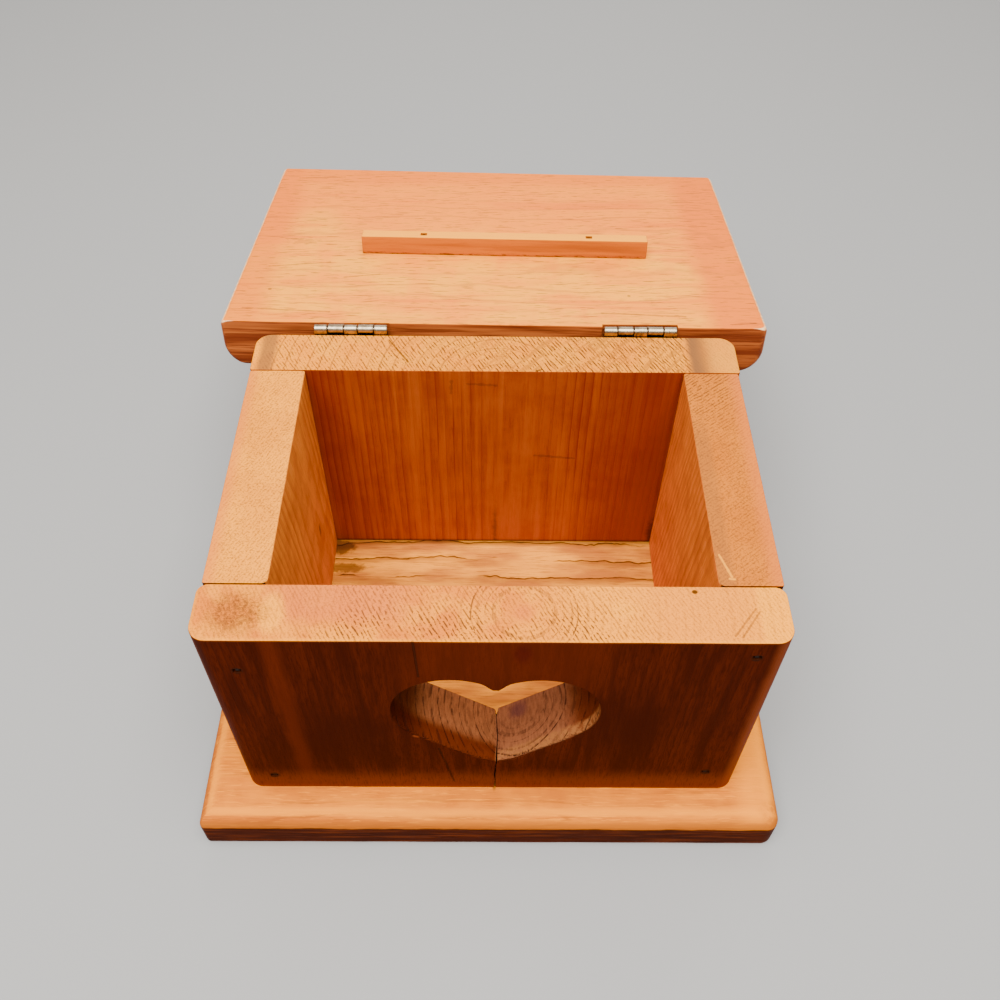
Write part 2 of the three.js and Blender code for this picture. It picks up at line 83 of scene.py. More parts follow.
# Rounding of each board, in millimetres: plan corners anticlockwise from the front left, then the
# upper and the lower edges of the front, right, rear and left sides
SMALL_EASE = (0.35,) * 4
ROUNDING = {
    "base_board": {"corner": (2.0, 4.5, 2.0, 2.0), "top": (7.0,) * 4, "foot": (1.2,) * 4},
    "front_board": {"corner": (5.2, 5.2, 3.2, 3.2)},
    "left_side_board": {"corner": (0.8, 1.8, 0.8, 0.8)},
    "right_side_board": {"corner": (1.8, 0.8, 0.8, 0.8)},
    "back_board": {"corner": (0.8, 0.8, 5.5, 5.5)},
    "lid_board": {"corner": (1.8, 1.8, 3.0, 1.8), "top": (9.0, 9.0, 2.0, 9.0), "foot": (1.6, 2.6, 0.5, 2.6)},
    "lid_batten": {"corner": (0.5,) * 4, "top": (0.25,) * 4, "foot": (0.5,) * 4},
}

# The lid, shut, in the pin's frame
LID_UNDER_MM = -0.9
LID_THICK_MM = 19.05
LID_SKEW = 0.8
LID_SETBACK_MM = 2.3
LID_PLAN_MM = ((-99.6, -136.9), (98.0, -133.5), (99.2, 0.0), (-98.8, 0.0))
BATTEN_MM = {"left": -53.1, "right": 59.9, "from_rear": 52.2, "width": 5.8, "height": 7.2}
BATTEN_TURN = 0.6
BATTEN_GAP_MM = 0.3

# The heart in the plane of the front board, and the split below it
HEART_X_MM = 1.5
HEART_TIP_MM = 40.95
LOBE_RADIUS_MM = 18.7
LOBE_OFFSET_MM = 13.6
LOBE_HEIGHT_MM = 76.3
CUSP_HALF_MM = 0.9
CUSP_BLEND_MM = 4.5
CUSP_DIP_MM = 1.3
SOFT_TIP_MM = (0.9, 2.2)
SOFT_LOWER_MM = (3.4, 5.4)
SOFT_UPPER_MM = (0.2, 0.4)
SOFT_TIP_LENGTH_MM = 7.0
SOFT_LINE_SHARE = 0.7
SOFT_LOBE_ANGLE = 0.25
SPLIT_WIDTH_MM = 0.6
SPLIT_TAPER = 0.4
SPLIT_BEND_MM = 0.5
SPLIT_TOP_X_MM = 1.85
SPLIT_FOOT_X_MM = 1.35
NOTCH_WIDTH_MM = 1.7
NOTCH_DEPTH_MM = 3.0

# Brads in the walls and the batten
BRAD_HEAD_MM = (2.1, 1.6, 0.7)
BRAD_SHANK_MM = 1.1
BRAD_SUNK_MM = 0.35
BRAD_LENGTH_MM = 31.0
BATTEN_BRAD_LENGTH_MM = 16.0
BRAD_PIT_MM = (2.6, 2.1, 1.3)
BATTEN_BRADS_MM = (-28.6, 36.8)

# The hinges, about the pin's line, and their screws; the leaves' sizes are named as their tree's inputs
HINGE_CENTRES_MM = (-51.0, 52.8)
HINGE_LENGTH_MM = 26.0
KNUCKLE_PITCH_MM = 10.7
BOX_KNUCKLE_MM = 4.6
LID_KNUCKLE_MM = 5.5
BOX_LEAF_BACK_MM = -1.6
LID_LEAF_BACK_MM = -2.7
LEAF_THICK_MM = 0.9
SCREW_ACROSS_MM = 8.4
SCREW_UP_MM = 6.0
LEAF_MM = {
    "Knuckle Pitch": KNUCKLE_PITCH_MM, "Knuckle Radius": 1.55, "Bore": 0.75, "Knuckle Ease": 0.3,
    "Leaf Width": HINGE_LENGTH_MM, "Leaf Near": 1.9, "Leaf Reach": 9.7, "Leaf Thickness": LEAF_THICK_MM,
    "Screw Across": SCREW_ACROSS_MM, "Screw Height": SCREW_UP_MM, "Screw Hole": 1.9,
}
SCREW_MM = {
    "Head Radius": 1.8, "Shank Radius": 0.9, "Length": 9.0, "Slot Width": 0.5, "Slot Depth": 0.35,
}
MORTISE_HALF_MM = 13.6
MORTISE_LOW_MM = (-3.0, -1.9)
MORTISE_HIGH_MM = (1.9, 10.0)


def srgb(*levels):
    """A colour given on the 0 to 255 scale, as the linear values that Blender works in"""
    shares = [level / 255 for level in levels]
    return [share / 12.92 if share <= 0.04045 else ((share + 0.055) / 1.055) ** 2.4 for share in shares]


def full(colour):
    """The colour with its alpha"""
    return (*colour[:3], 1.0)


class Field:
    """A node's output in Python expressions: each operator adds one Math node"""

    def __init__(self, net, socket):
        self.net = net
        self.socket = socket

    def other(self, name):
        return Field(self.net, self.socket.node.outputs[name])

    def math(self, operation, *terms):
        return self.net.math(operation, self, *terms)

    def __add__(self, term):
        return self.math("ADD", term)

    def __sub__(self, term):
        return self.math("SUBTRACT", term)

    def __rsub__(self, term):
        return self.net.math("SUBTRACT", term, self)

    def __mul__(self, term):
        return self.math("MULTIPLY", term)

    def __truediv__(self, term):
        return self.math("DIVIDE", term)

    def __neg__(self):
        return self.math("MULTIPLY", -1.0)

    def __abs__(self):
        return self.math("ABSOLUTE")

    __radd__ = __add__
    __rmul__ = __mul__

    def between(self, low, high):
        """0 below low and 1 above high, with a smooth rise; or the reverse when low is above high"""
        inputs = {"Value": self, 1: low, 2: high}
        if low > high:
            inputs = {"Value": self, 1: high, 2: low, 3: 1.0, 4: 0.0}
        return self.net.node("ShaderNodeMapRange", {"interpolation_type": "SMOOTHSTEP"}, inputs)

    def band(self, start, stop, soft):
        """1 between start and stop, with soft ends"""
        return self.between(start - soft, start + soft) * self.between(stop + soft, stop - soft)


class Net:
    """A node tree; every node in it is made by its method node"""

    def __init__(self, tree):
        self.tree = tree

    def node(self, kind, settings=None, inputs=None, output=0):
        made = self.tree.nodes.new(kind)
        for name, value in (settings or {}).items():
            setattr(made, name, value)
        for name, value in (inputs or {}).items():
            socket = made.inputs[name]
            if isinstance(value, Field):
                self.tree.links.new(value.socket, socket)
            else:
                socket.default_value = value
        return Field(self, made.outputs[output]) if len(made.outputs) else made

    def math(self, operation, *terms):
        return self.node("ShaderNodeMath", {"operation": operation}, dict(enumerate(terms)))

    def least(self, first, second):
        return self.math("MINIMUM", first, second)

    def most(self, *terms):
        """The largest of two or more terms"""
        largest = terms[0]
        for term in terms[1:]:
            largest = self.math("MAXIMUM", largest, term)
        return largest

    def root(self, value):
        return self.math("SQRT", value)

    def vector_math(self, operation, *terms):
        output = "Value" if operation in {"LENGTH", "DISTANCE", "DOT_PRODUCT"} else "Vector"
        return self.node("ShaderNodeVectorMath", {"operation": operation}, dict(enumerate(terms)), output)

    def scaled(self, vector, scale):
        return self.node("ShaderNodeVectorMath", {"operation": "SCALE"}, {0: vector, "Scale": scale})

    def vector(self, x, y, z):
        return self.node("ShaderNodeCombineXYZ", None, {"X": x, "Y": y, "Z": z})

    def parts(self, vector):
        split = self.node("ShaderNodeSeparateXYZ", None, {0: vector}, "X")
        return split, split.other("Y"), split.other("Z")

    def noise(self, vector, detail=2.0, roughness=0.5, scale=1.0):
        inputs = {"Vector": vector, "Scale": scale, "Detail": detail, "Roughness": roughness}
        return self.node("ShaderNodeTexNoise", None, inputs)


# Geometry Nodes trees


class Tree(Net):
    """A Geometry Nodes tree with named inputs and one geometry output"""

    def __init__(self, name):
        super().__init__(bpy.data.node_groups.new(name, "GeometryNodeTree"))
        self.tree.interface.new_socket("Geometry", in_out="OUTPUT", socket_type="NodeSocketGeometry")
        self.entry = self.tree.nodes.new("NodeGroupInput")

    def input(self, name, kind="Float", value=None):
        made = self.tree.interface.new_socket(name, in_out="INPUT", socket_type="NodeSocket" + kind)
        if value is not None:
            made.default_value = value
        return Field(self, self.entry.outputs[name])

    def inputs(self, *names):
        return [self.input(name) for name in names]

    def equal(self, first, second):
        return self.node("ShaderNodeMath", {"operation": "COMPARE"}, {0: first, 1: second, 2: 0.5})

    def blend(self, share, first, second):
        """first where share is 0 and second where it is 1, as vectors"""
        inputs = {0: share, 4: first, 5: second}
        return self.node("ShaderNodeMix", {"data_type": "VECTOR"}, inputs, 1)

    def join(self, *pieces):
        joined = pieces[0]
        for piece in pieces[1:]:
            first, joined = joined, self.node("GeometryNodeJoinGeometry", None, {0: piece})
            self.tree.links.new(first.socket, joined.socket.node.inputs[0])
        return joined

    def moved(self, geometry, place=(0.0, 0.0, 0.0), turn=(0.0, 0.0, 0.0)):
        inputs = {"Geometry": geometry, "Translation": place, "Rotation": turn}
        return self.node("GeometryNodeTransform", None, inputs)

    def block(self, *sizes):
        return self.node("GeometryNodeMeshCube", None, {"Size": self.vector(*sizes)})

    def row(self, count, start, step):
        """Points in a row, step along X from one to the next"""
        inputs = {"Count": count, "Start Location": start, "Offset": self.vector(step, 0.0, 0.0)}
        return self.node("GeometryNodeMeshLine", {"mode": "OFFSET"}, inputs)

    def at(self, points, instance, **turn):
        inputs = {"Points": points, "Instance": instance, **turn}
        return self.node("GeometryNodeInstanceOnPoints", None, inputs)

    def circle(self, resolution, radius):
        inputs = {"Resolution": resolution, "Radius": radius}
        return self.node("GeometryNodeCurvePrimitiveCircle", None, inputs)

    def rounded_outline(self, width, height, radius, count):
        sides = {"Width": width, "Height": height}
        outline = self.node("GeometryNodeCurvePrimitiveQuadrilateral", None, sides)
        rounding = {"Curve": outline, "Radius": radius, "Limit Radius": True, "Count": count}
        return self.node("GeometryNodeFilletCurve", {"mode": "POLY"}, rounding)

    def plate(self, width, height, radius, thickness, *holes):
        """A flat plate with rounded corners in the XY plane, thickened upward, with round holes"""
        outline = self.join(self.rounded_outline(width, height, radius, 5), *holes)
        face = self.node("GeometryNodeFillCurve", {"mode": "NGONS"}, {"Curve": outline})
        upward = {"Mesh": face, "Offset": self.vector(0.0, 0.0, thickness), "Individual": False}
        raised = self.node("GeometryNodeExtrudeMesh", {"mode": "FACES"}, upward, "Mesh")
        below = self.node("GeometryNodeFlipFaces", None, {"Mesh": face})
        return self.node("GeometryNodeMergeByDistance", None, {"Geometry": self.join(raised, below)})

    def turned_by_chance(self, turn, low, high, seed):
        """A rotation by turn, and before it one about Z by chance"""
        limits = {2: low, 3: high, "Seed": seed}
        chance = self.node("FunctionNodeRandomValue", {"data_type": "FLOAT"}, limits, 1)
        turns = [
            self.node("FunctionNodeEulerToRotation", None, {0: angles})
            for angles in (turn, self.vector(0.0, 0.0, chance))
        ]
        return self.node("FunctionNodeRotateRotation", {"rotation_space": "LOCAL"}, dict(enumerate(turns)))

    def finish(self, geometry, material):
        """Ends the tree in real geometry of one material"""
        real = self.node("GeometryNodeRealizeInstances", None, {"Geometry": geometry})
        inputs = {"Geometry": real, "Material": material}
        painted = self.node("GeometryNodeSetMaterial", None, inputs)
        leave = self.tree.nodes.new("NodeGroupOutput")
        self.tree.links.new(painted.socket, leave.inputs["Geometry"])
        return self.tree


def linked(data, name):
    """A new object with this mesh, light or camera, in the scene"""
    made = bpy.data.objects.new(name, data)
    bpy.context.scene.collection.objects.link(made)
    return made


def settle(piece):
    """Turns what the piece's modifiers make into its plain mesh"""
    graph = bpy.context.evaluated_depsgraph_get()
    mesh = bpy.data.meshes.new_from_object(piece.evaluated_get(graph), depsgraph=graph)
    piece.modifiers.clear()
    old = piece.data
    piece.data = mesh
    bpy.data.meshes.remove(old)
    mesh.name = piece.name
    return piece


def run_tree(name, tree, values, points=()):
    """The plain mesh object that a tree makes from its named inputs, and from points where it has any"""
    mesh = bpy.data.meshes.new(name)
    mesh.from_pydata(list(points), [], [])
    piece = linked(mesh, name)
    modifier = piece.modifiers.new("Build", "NODES")
    modifier.node_group = tree
    for socket in tree.interface.items_tree:
        if socket.in_out == "INPUT" and socket.name in values:
            modifier[socket.identifier] = values[socket.name]
    return settle(piece)


def true_edges(piece):
    """Smooth shading with crisp edges past the crease angle, led by the large faces"""
    piece.data.set_sharp_from_angle(angle=CREASE_ANGLE)
    modifier = piece.modifiers.new("Normals", "WEIGHTED_NORMAL")
    modifier.keep_sharp = True
    return settle(piece)


SIDES = ("Front", "Right", "Rear", "Left")
CORNERS = ("Front Left", "Front Right", "Rear Right", "Rear Left")
LEAST_RADIUS = 0.15 * MM


def rounded_board_tree():
    """A four-cornered board: each corner and each upper and lower edge has a rounding of its own.

    A cylinder's rings are laid out as the board's rings. A ring at height z stands back from each side
    by what that side's rounded edges ask for there, and the rounding varies a little as hand sanding
    leaves it.
    """
    net = Tree("rounded_board")
    material = net.input("Material", "Material")
    corners = [net.input(name, "Vector") for name in CORNERS]
    foot_z, top_z = net.inputs("Foot Height", "Top Height")
    corner_radii = net.inputs(*(name + " Radius" for name in CORNERS))
    top_radii = net.inputs(*(name + " Top Round" for name in SIDES))
    foot_radii = net.inputs(*(name + " Foot Round" for name in SIDES))
    arc_steps, side_steps, round_steps = (
        net.input(name + " Steps", "Int", steps) for name, steps in (("Arc", 8), ("Side", 40), ("Round", 8)))
    unevenness, dents, seed = net.inputs("Unevenness", "Dents", "Seed")
    dent_scale = net.input("Dent Scale", value=60.0)

    quarter = arc_steps + side_steps
    around = quarter * 4
    rings = round_steps * 2 + 1
    sizes = {"Vertices": around, "Side Segments": rings, "Radius": 1.0, "Depth": rings}
    cylinder = net.node("GeometryNodeMeshCylinder", {"fill_type": "NGON"}, sizes)
    place = net.node("GeometryNodeInputPosition")
    circle_x, circle_y, circle_z = net.parts(place)

    ring = circle_z + rings * 0.5
    above = net.math("GREATER_THAN", ring, rings * 0.5)
    step = net.least(ring, rings - ring)
    rise = 1.0 - net.math("COSINE", step / round_steps * QUARTER_TURN)
    low_z = foot_z + net.most(*foot_radii) * rise
    high_z = top_z - net.most(*top_radii) * rise
    height = low_z + above * (high_z - low_z)
    uneven = net.noise(net.vector(circle_x, circle_y, seed), 3.0, scale=7.0) - 0.5
    variation = 1.0 + uneven * unevenness

    def stand_back(radius, depth):
        left = net.most(radius - depth, 0.0)
        return radius - net.root(net.most(radius * radius - left * left, 0.0))

    insets = [
        (stand_back(top, top_z - height) + stand_back(foot, height - foot_z)) * variation
        for top, foot in zip(top_radii, foot_radii)
    ]
    width = net.vector_math("DISTANCE", corners[0], corners[1])
    depth = net.vector_math("DISTANCE", corners[0], corners[3])

    along = net.math("MODULO", net.node("GeometryNodeInputIndex"), around)
    corner = net.math("FLOOR", (along + 0.5) / quarter)
    local = along - corner * quarter
    arc = net.least(local, arc_steps) / arc_steps
    run = net.most(local - arc_steps, 0.0) / side_steps
    heading = (corner + arc + 2.0) * QUARTER_TURN
    toward_x = net.math("COSINE", heading)
    toward_y = net.math("SINE", heading)

    centres = []
    for i, wanted in enumerate(corner_radii):
        radius = net.most(wanted - net.least(insets[i], insets[i - 1]), LEAST_RADIUS)
        x = insets[3] + radius if i in (0, 3) else width - insets[1] - radius
        y = insets[0] + radius if i in (0, 1) else depth - insets[2] - radius
        centres.append((x, y, radius))
    flat_x, flat_y = 0.0, 0.0
    for i, (x, y, radius) in enumerate(centres):
        next_x, next_y, next_radius = centres[(i + 1) % 4]
        end = math.pi * (1 + (i + 1) / 2)
        grown = next_radius - radius
        here = net.equal(corner, float(i))
        flat_x = flat_x + here * (x + radius * toward_x + run * (next_x - x + grown * round(math.cos(end))))
        flat_y = flat_y + here * (y + radius * toward_y + run * (next_y - y + grown * round(math.sin(end))))

    share_x = flat_x / width
    front = net.blend(share_x, corners[0], corners[1])
    rear = net.blend(share_x, corners[3], corners[2])
    plan = net.blend(flat_y / depth, front, rear)
    laid = net.vector_math("ADD", plan, net.vector(0.0, 0.0, height))
    shaped = net.node("GeometryNodeSetPosition", None, {"Geometry": cylinder, "Position": laid})

    spot = net.vector_math("ADD", place, net.vector(seed, 0.0, 0.0))
    rough = net.noise(spot, 3.0, scale=dent_scale) - 0.5
    outward = net.vector_math("MULTIPLY", net.node("GeometryNodeInputNormal"), (1.0, 1.0, 0.0))
    push = net.scaled(outward, rough * dents * 2.0)
    worn = net.node("GeometryNodeSetPosition", None, {"Geometry": shaped, "Offset": push})
    return net.finish(worn, material)


def board(name, plan, heights, material, rounding, steps, seed, wear=(0.3, 0.12)):
    """A board from its plan corners and heights in metres, through the rounded board tree"""
    values = {
        "Material": material, "Foot Height": heights[0], "Top Height": heights[1],
        "Arc Steps": steps[0], "Side Steps": steps[1], "Round Steps": steps[2],
        "Unevenness": wear[0], "Dents": wear[1] * MM, "Seed": seed,
    }
    for corner, (x, y), radius in zip(CORNERS, plan, rounding["corner"]):
        values[corner] = (x, y, 0.0)
        values[corner + " Radius"] = radius * MM
    for i, side in enumerate(SIDES):
        values[side + " Top Round"] = rounding.get("top", SMALL_EASE)[i] * MM
        values[side + " Foot Round"] = rounding.get("foot", SMALL_EASE)[i] * MM
    return run_tree(name, bpy.data.node_groups.get("rounded_board") or rounded_board_tree(), values)


def rectangle(low, high):
    """The four corners of an upright rectangle in plan, anticlockwise from the front left"""
    return (low[0], low[1]), (high[0], low[1]), (high[0], high[1]), (low[0], high[1])


def hardware_tree(name):
    """The start of a tree that sets metal pieces at points"""
    net = Tree(name)
    points = net.input("Points", "Geometry")
    return net, points, net.input("Material", "Material")


def brad_tree():
    """Square-cut brad heads on their shanks, each a little askew, at points on a wall or batten"""
    net, points, material = hardware_tree("brads")
    width, height, thick, shank, length, facing, by_side = net.inputs(
        "Head Width", "Head Height", "Head Thickness", "Shank", "Length", "Facing", "Turn By Side")
    seed = net.input("Seed", "Int", 1)
    head = net.moved(net.plate(width, height, height * 0.2, thick), net.vector(0.0, 0.0, -thick))
    stem = net.moved(net.block(shank, shank, length), net.vector(0.0, 0.0, length * -0.5))
    _, depth, _ = net.parts(net.node("GeometryNodeInputPosition"))
    lean = facing + net.math("SIGN", depth) * by_side
    turn = net.turned_by_chance(net.vector(lean, 0.0, 0.0), -0.16, 0.16, seed)
    return net.finish(net.at(points, net.join(head, stem), Rotation=turn), material)


def screw_tree():
    """Countersunk screws with a slot, each turned by chance, at points; their heads face the rear"""
    net, points, material = hardware_tree("slotted_screws")
    head_radius, shank_radius, length, slot_width, slot_depth = net.inputs(*SCREW_MM)
    seed = net.input("Seed", "Int", 1)
    taper = head_radius - shank_radius
    cone = {"Vertices": 40, "Radius Top": head_radius, "Radius Bottom": shank_radius, "Depth": taper}
    head = net.moved(net.node("GeometryNodeMeshCone", None, cone), net.vector(0.0, 0.0, -taper))
    solids = {"Mesh 1": head, "Mesh 2": net.block(head_radius * 3.0, slot_width, slot_depth * 2.0)}
    slotted = net.node(
        "GeometryNodeMeshBoolean", {"operation": "DIFFERENCE", "solver": "EXACT"}, solids)
    round_bar = {"Vertices": 24, "Radius": shank_radius, "Depth": length - taper}
    stem = net.node("GeometryNodeMeshCylinder", None, round_bar)
    stem = net.moved(stem, net.vector(0.0, 0.0, (length + taper) * -0.5))
    turn = net.turned_by_chance((-QUARTER_TURN, 0.0, 0.0), 0.0, math.pi, seed)
    return net.finish(net.at(points, net.join(slotted, stem), Rotation=turn), material)


def leaf_tree():
    """Hinge leaves at points on the pin's line: a plate with two screw holes, and knuckles repeated
    along the pin, each joined to the plate by a short arm. Up is 1 for the lid's leaf, -1 for the box's.
    """
    net, points, material = hardware_tree("hinge_leaves")
    count = net.input("Knuckle Count", "Int", 3)
    up, first, length, back = net.inputs("Up", "First Knuckle", "Knuckle Length", "Leaf Back")
    pitch, radius, bore, ease, width, near, reach, thick, across, screw_up, hole = net.inputs(*LEAF_MM)

    middle = (near + reach) * 0.5
    places = net.row(2, net.vector(-across, screw_up - middle, 0.0), across * 2.0)
    holes = net.at(places, net.circle(32, hole))
    holes = net.node("GeometryNodeRealizeInstances", None, {"Geometry": holes})
    flat = net.plate(width, reach - near, 0.8 * MM, thick, holes)
    # Stood up facing the rear, and turned over for the box's leaf
    stand = net.vector(QUARTER_TURN, (up - 1.0) * QUARTER_TURN, 0.0)
    flat = net.moved(flat, net.vector(0.0, back + thick, up * middle), stand)

    section = net.rounded_outline(radius - bore, length, ease, 4)
    curves = {"Curve": net.circle(40, (radius + bore) * 0.5), "Profile Curve": section}
    tube = net.node("GeometryNodeCurveToMesh", None, curves)
    tube = net.moved(tube, turn=(0.0, QUARTER_TURN, 0.0))
    arm = net.block(length * 0.98, net.math("ABSOLUTE", back), thick)
    arm = net.moved(arm, net.vector(0.0, back * 0.5, 0.0))
    web = net.block(length * 0.98, thick * 0.98, near + thick * 1.5)
    web = net.moved(web, net.vector(0.0, back + thick * 0.5, up * (near + thick * 0.5) * 0.5))
    along = net.row(count, net.vector(first, 0.0, 0.0), pitch)
    leaf = net.join(flat, net.at(along, net.join(tube, arm, web)))
    return net.finish(net.at(points, leaf), material)


# Cutters for the boards


def lofted(name, rings):
    """A closed mesh through rings of equal point count, with a face at each end"""
    count = len(rings[0])
    faces = [list(range(count))[::-1], [len(rings) * count - count + i for i in range(count)]]
    for level in range(len(rings) - 1):
        for i in range(count):
            j = (i + 1) % count
            low = level * count
            faces.append([low + i, low + j, low + count + j, low + count + i])
    mesh = bpy.data.meshes.new(name)
    mesh.from_pydata([point for ring in rings for point in ring], [], faces)
    return mesh


def smooth_step(value, low, high):
    share = min(max((value - low) / (high - low), 0.0), 1.0)
    return share * share * (3 - 2 * share)


def heart_points(line_steps=16, lobe_steps=44):
    """The heart's outline anticlockwise from its tip: place, outward normal and length from the tip"""
    rise = LOBE_HEIGHT_MM - HEART_TIP_MM
    reach = math.hypot(LOBE_OFFSET_MM, rise)
    slope = math.atan2(rise, LOBE_OFFSET_MM) - math.asin(LOBE_RADIUS_MM / reach)
    line = math.sqrt(reach ** 2 - LOBE_RADIUS_MM ** 2)
    start = slope - QUARTER_TURN
    cusp_angle = math.pi - math.acos(LOBE_OFFSET_MM / LOBE_RADIUS_MM)
    right = []
    for step in range(1, line_steps):
        length = line * (step / line_steps) ** 1.4
        x, z = length * math.cos(slope), HEART_TIP_MM + length * math.sin(slope)
        right.append((x, z, math.sin(slope), -math.cos(slope), length))
    for step in range(lobe_steps):
        angle = start + (cusp_angle - start) * step / lobe_steps
        x = LOBE_OFFSET_MM + LOBE_RADIUS_MM * math.cos(angle)
        z = LOBE_HEIGHT_MM + LOBE_RADIUS_MM * math.sin(angle)
        if x <= CUSP_HALF_MM:
            continue
        if z > LOBE_HEIGHT_MM:
            z -= CUSP_DIP_MM * smooth_step(CUSP_BLEND_MM - x, 0.0, CUSP_BLEND_MM - CUSP_HALF_MM)
        right.append((x, z, math.cos(angle), math.sin(angle), line + LOBE_RADIUS_MM * (angle - start)))
    end = line + LOBE_RADIUS_MM * (cusp_angle - start)
    tip = (0.0, HEART_TIP_MM, 0.0, -1 / math.cos(slope), 0.0)
    cusp = (0.0, right[-1][1], 0.0, 1.0, end)
    left = [(-x, z, -nx, nz, length) for x, z, nx, nz, length in reversed(right)]
    soft_end = line + LOBE_RADIUS_MM * (SOFT_LOBE_ANGLE - start)
    return [tip, *right, cusp, *left], line, soft_end


def heart_cutter(front, rear, steps=10):
    """The hole's solid: the heart with its soft front edge, from before the front face to past the rear"""
    points, line, soft_end = heart_points()

    def soft(length, part):
        tip, side, upper = (sizes[part] for sizes in (SOFT_TIP_MM, SOFT_LOWER_MM, SOFT_UPPER_MM))
        lower = tip + (side - tip) * smooth_step(length, 0.0, SOFT_TIP_LENGTH_MM)
        return lower + (upper - lower) * smooth_step(length, line * SOFT_LINE_SHARE, soft_end)

    def ring(turn, shift):
        made = []
        for x, z, nx, nz, length in points:
            grow = soft(length, 0) * (1 - math.cos(turn))
            sink = soft(length, 1) * (1 - math.sin(turn))
            wide, tall = HEART_X_MM + x + nx * grow, z + nz * grow
            made.append((wide * MM, front + (sink + shift) * MM, tall * MM))
        return made

    rings = [ring(QUARTER_TURN, -1.0)] + [ring(QUARTER_TURN * (1 - i / steps), 0.0) for i in range(steps + 1)]
    rings.append([((HEART_X_MM + x) * MM, rear + MM, z * MM) for x, z, *_ in points])
    return lofted("heart_cutter", [ring[::-1] for ring in rings])


def split_cutter(front, rear, foot, levels=24):
    """The split: a thin slot that wanders a little from the heart's tip to the board's foot"""
    top = HEART_TIP_MM + 2.0
    low = foot / MM - 1.0
    front_y, rear_y = front / MM - 1.0, rear / MM + 1.0
    notch_y = rear / MM - NOTCH_DEPTH_MM
    midway = (front + rear) / 2 / MM
    rings = []
    for level in range(levels + 1):
        share = level / levels
        middle = SPLIT_FOOT_X_MM + (SPLIT_TOP_X_MM - SPLIT_FOOT_X_MM) * share
        middle += 0.14 * math.sin(share * 9.0) + 0.07 * math.sin(share * 23.0 + 1.0)
        half = SPLIT_WIDTH_MM / 2 * (0.85 + 0.25 * math.sin(share * 14.0 + 0.6))
        fine = half * SPLIT_TAPER
        wide = max(fine, NOTCH_WIDTH_MM / 2 * smooth_step(share, 0.72, 1.0))
        ends = (
            (-half, front_y), (half, front_y), (SPLIT_BEND_MM + fine, midway), (fine, notch_y),
            (wide, rear_y), (-wide, rear_y), (-fine, notch_y), (SPLIT_BEND_MM - fine, midway),
        )
        z = low + (top - low) * share
        rings.append([((middle + dx) * MM, y * MM, z * MM) for dx, y in ends])
    return lofted("split_cutter", rings)


def block_cutter(name, low, high):
    """A plain box between two corners, as a mesh that cuts"""
    return lofted(name, [[(x, y, z) for x, y in rectangle(low, high)] for z in (low[2], high[2])])


def cut(piece, cutters):
    """Takes each cutter's solid out of the piece, and the cutters out of the scene"""
    material = next(filter(None, piece.data.materials))
    tools = [linked(mesh, mesh.name) for mesh in cutters]
    for tool in tools:
        modifier = piece.modifiers.new(tool.name, "BOOLEAN")
        modifier.operation = "DIFFERENCE"
        modifier.solver = "EXACT"
        modifier.object = tool
    settle(piece)
    for tool in tools:
        mesh = tool.data
        bpy.data.objects.remove(tool)
        bpy.data.meshes.remove(mesh)
    piece.data.materials.clear()
    piece.data.materials.append(material)
    piece.data.polygons.foreach_set("material_index", [0] * len(piece.data.polygons))


def brads_of(prefix):
    """The node, the place and the facing of each wall brad whose node starts with prefix"""
    for name in sorted(frame["nodes"]):
        if name.startswith(prefix + "_brad"):
            low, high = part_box(name)
            facing = -1 if prefix == "front" else 1
            yield name, (low.x + high.x) / 2, low.y if facing < 0 else high.y, (low.z + high.z) / 2, facing


def brad_pits(prefix, node):
    """Shallow square pits over the brads whose nodes start with prefix, in a wall"""
    across, tall, deep = (value * MM for value in BRAD_PIT_MM)
    low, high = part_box(node)
    pits = []
    for name, x, _, z, facing in brads_of(prefix):
        face = low.y if facing < 0 else high.y
        near, far = sorted((face + facing * MM, face - facing * deep))
        pits.append(block_cutter(
            name + "_pit", (x - across / 2, near, z - tall / 2), (x + across / 2, far, z + tall / 2)))
    return pits


# Materials


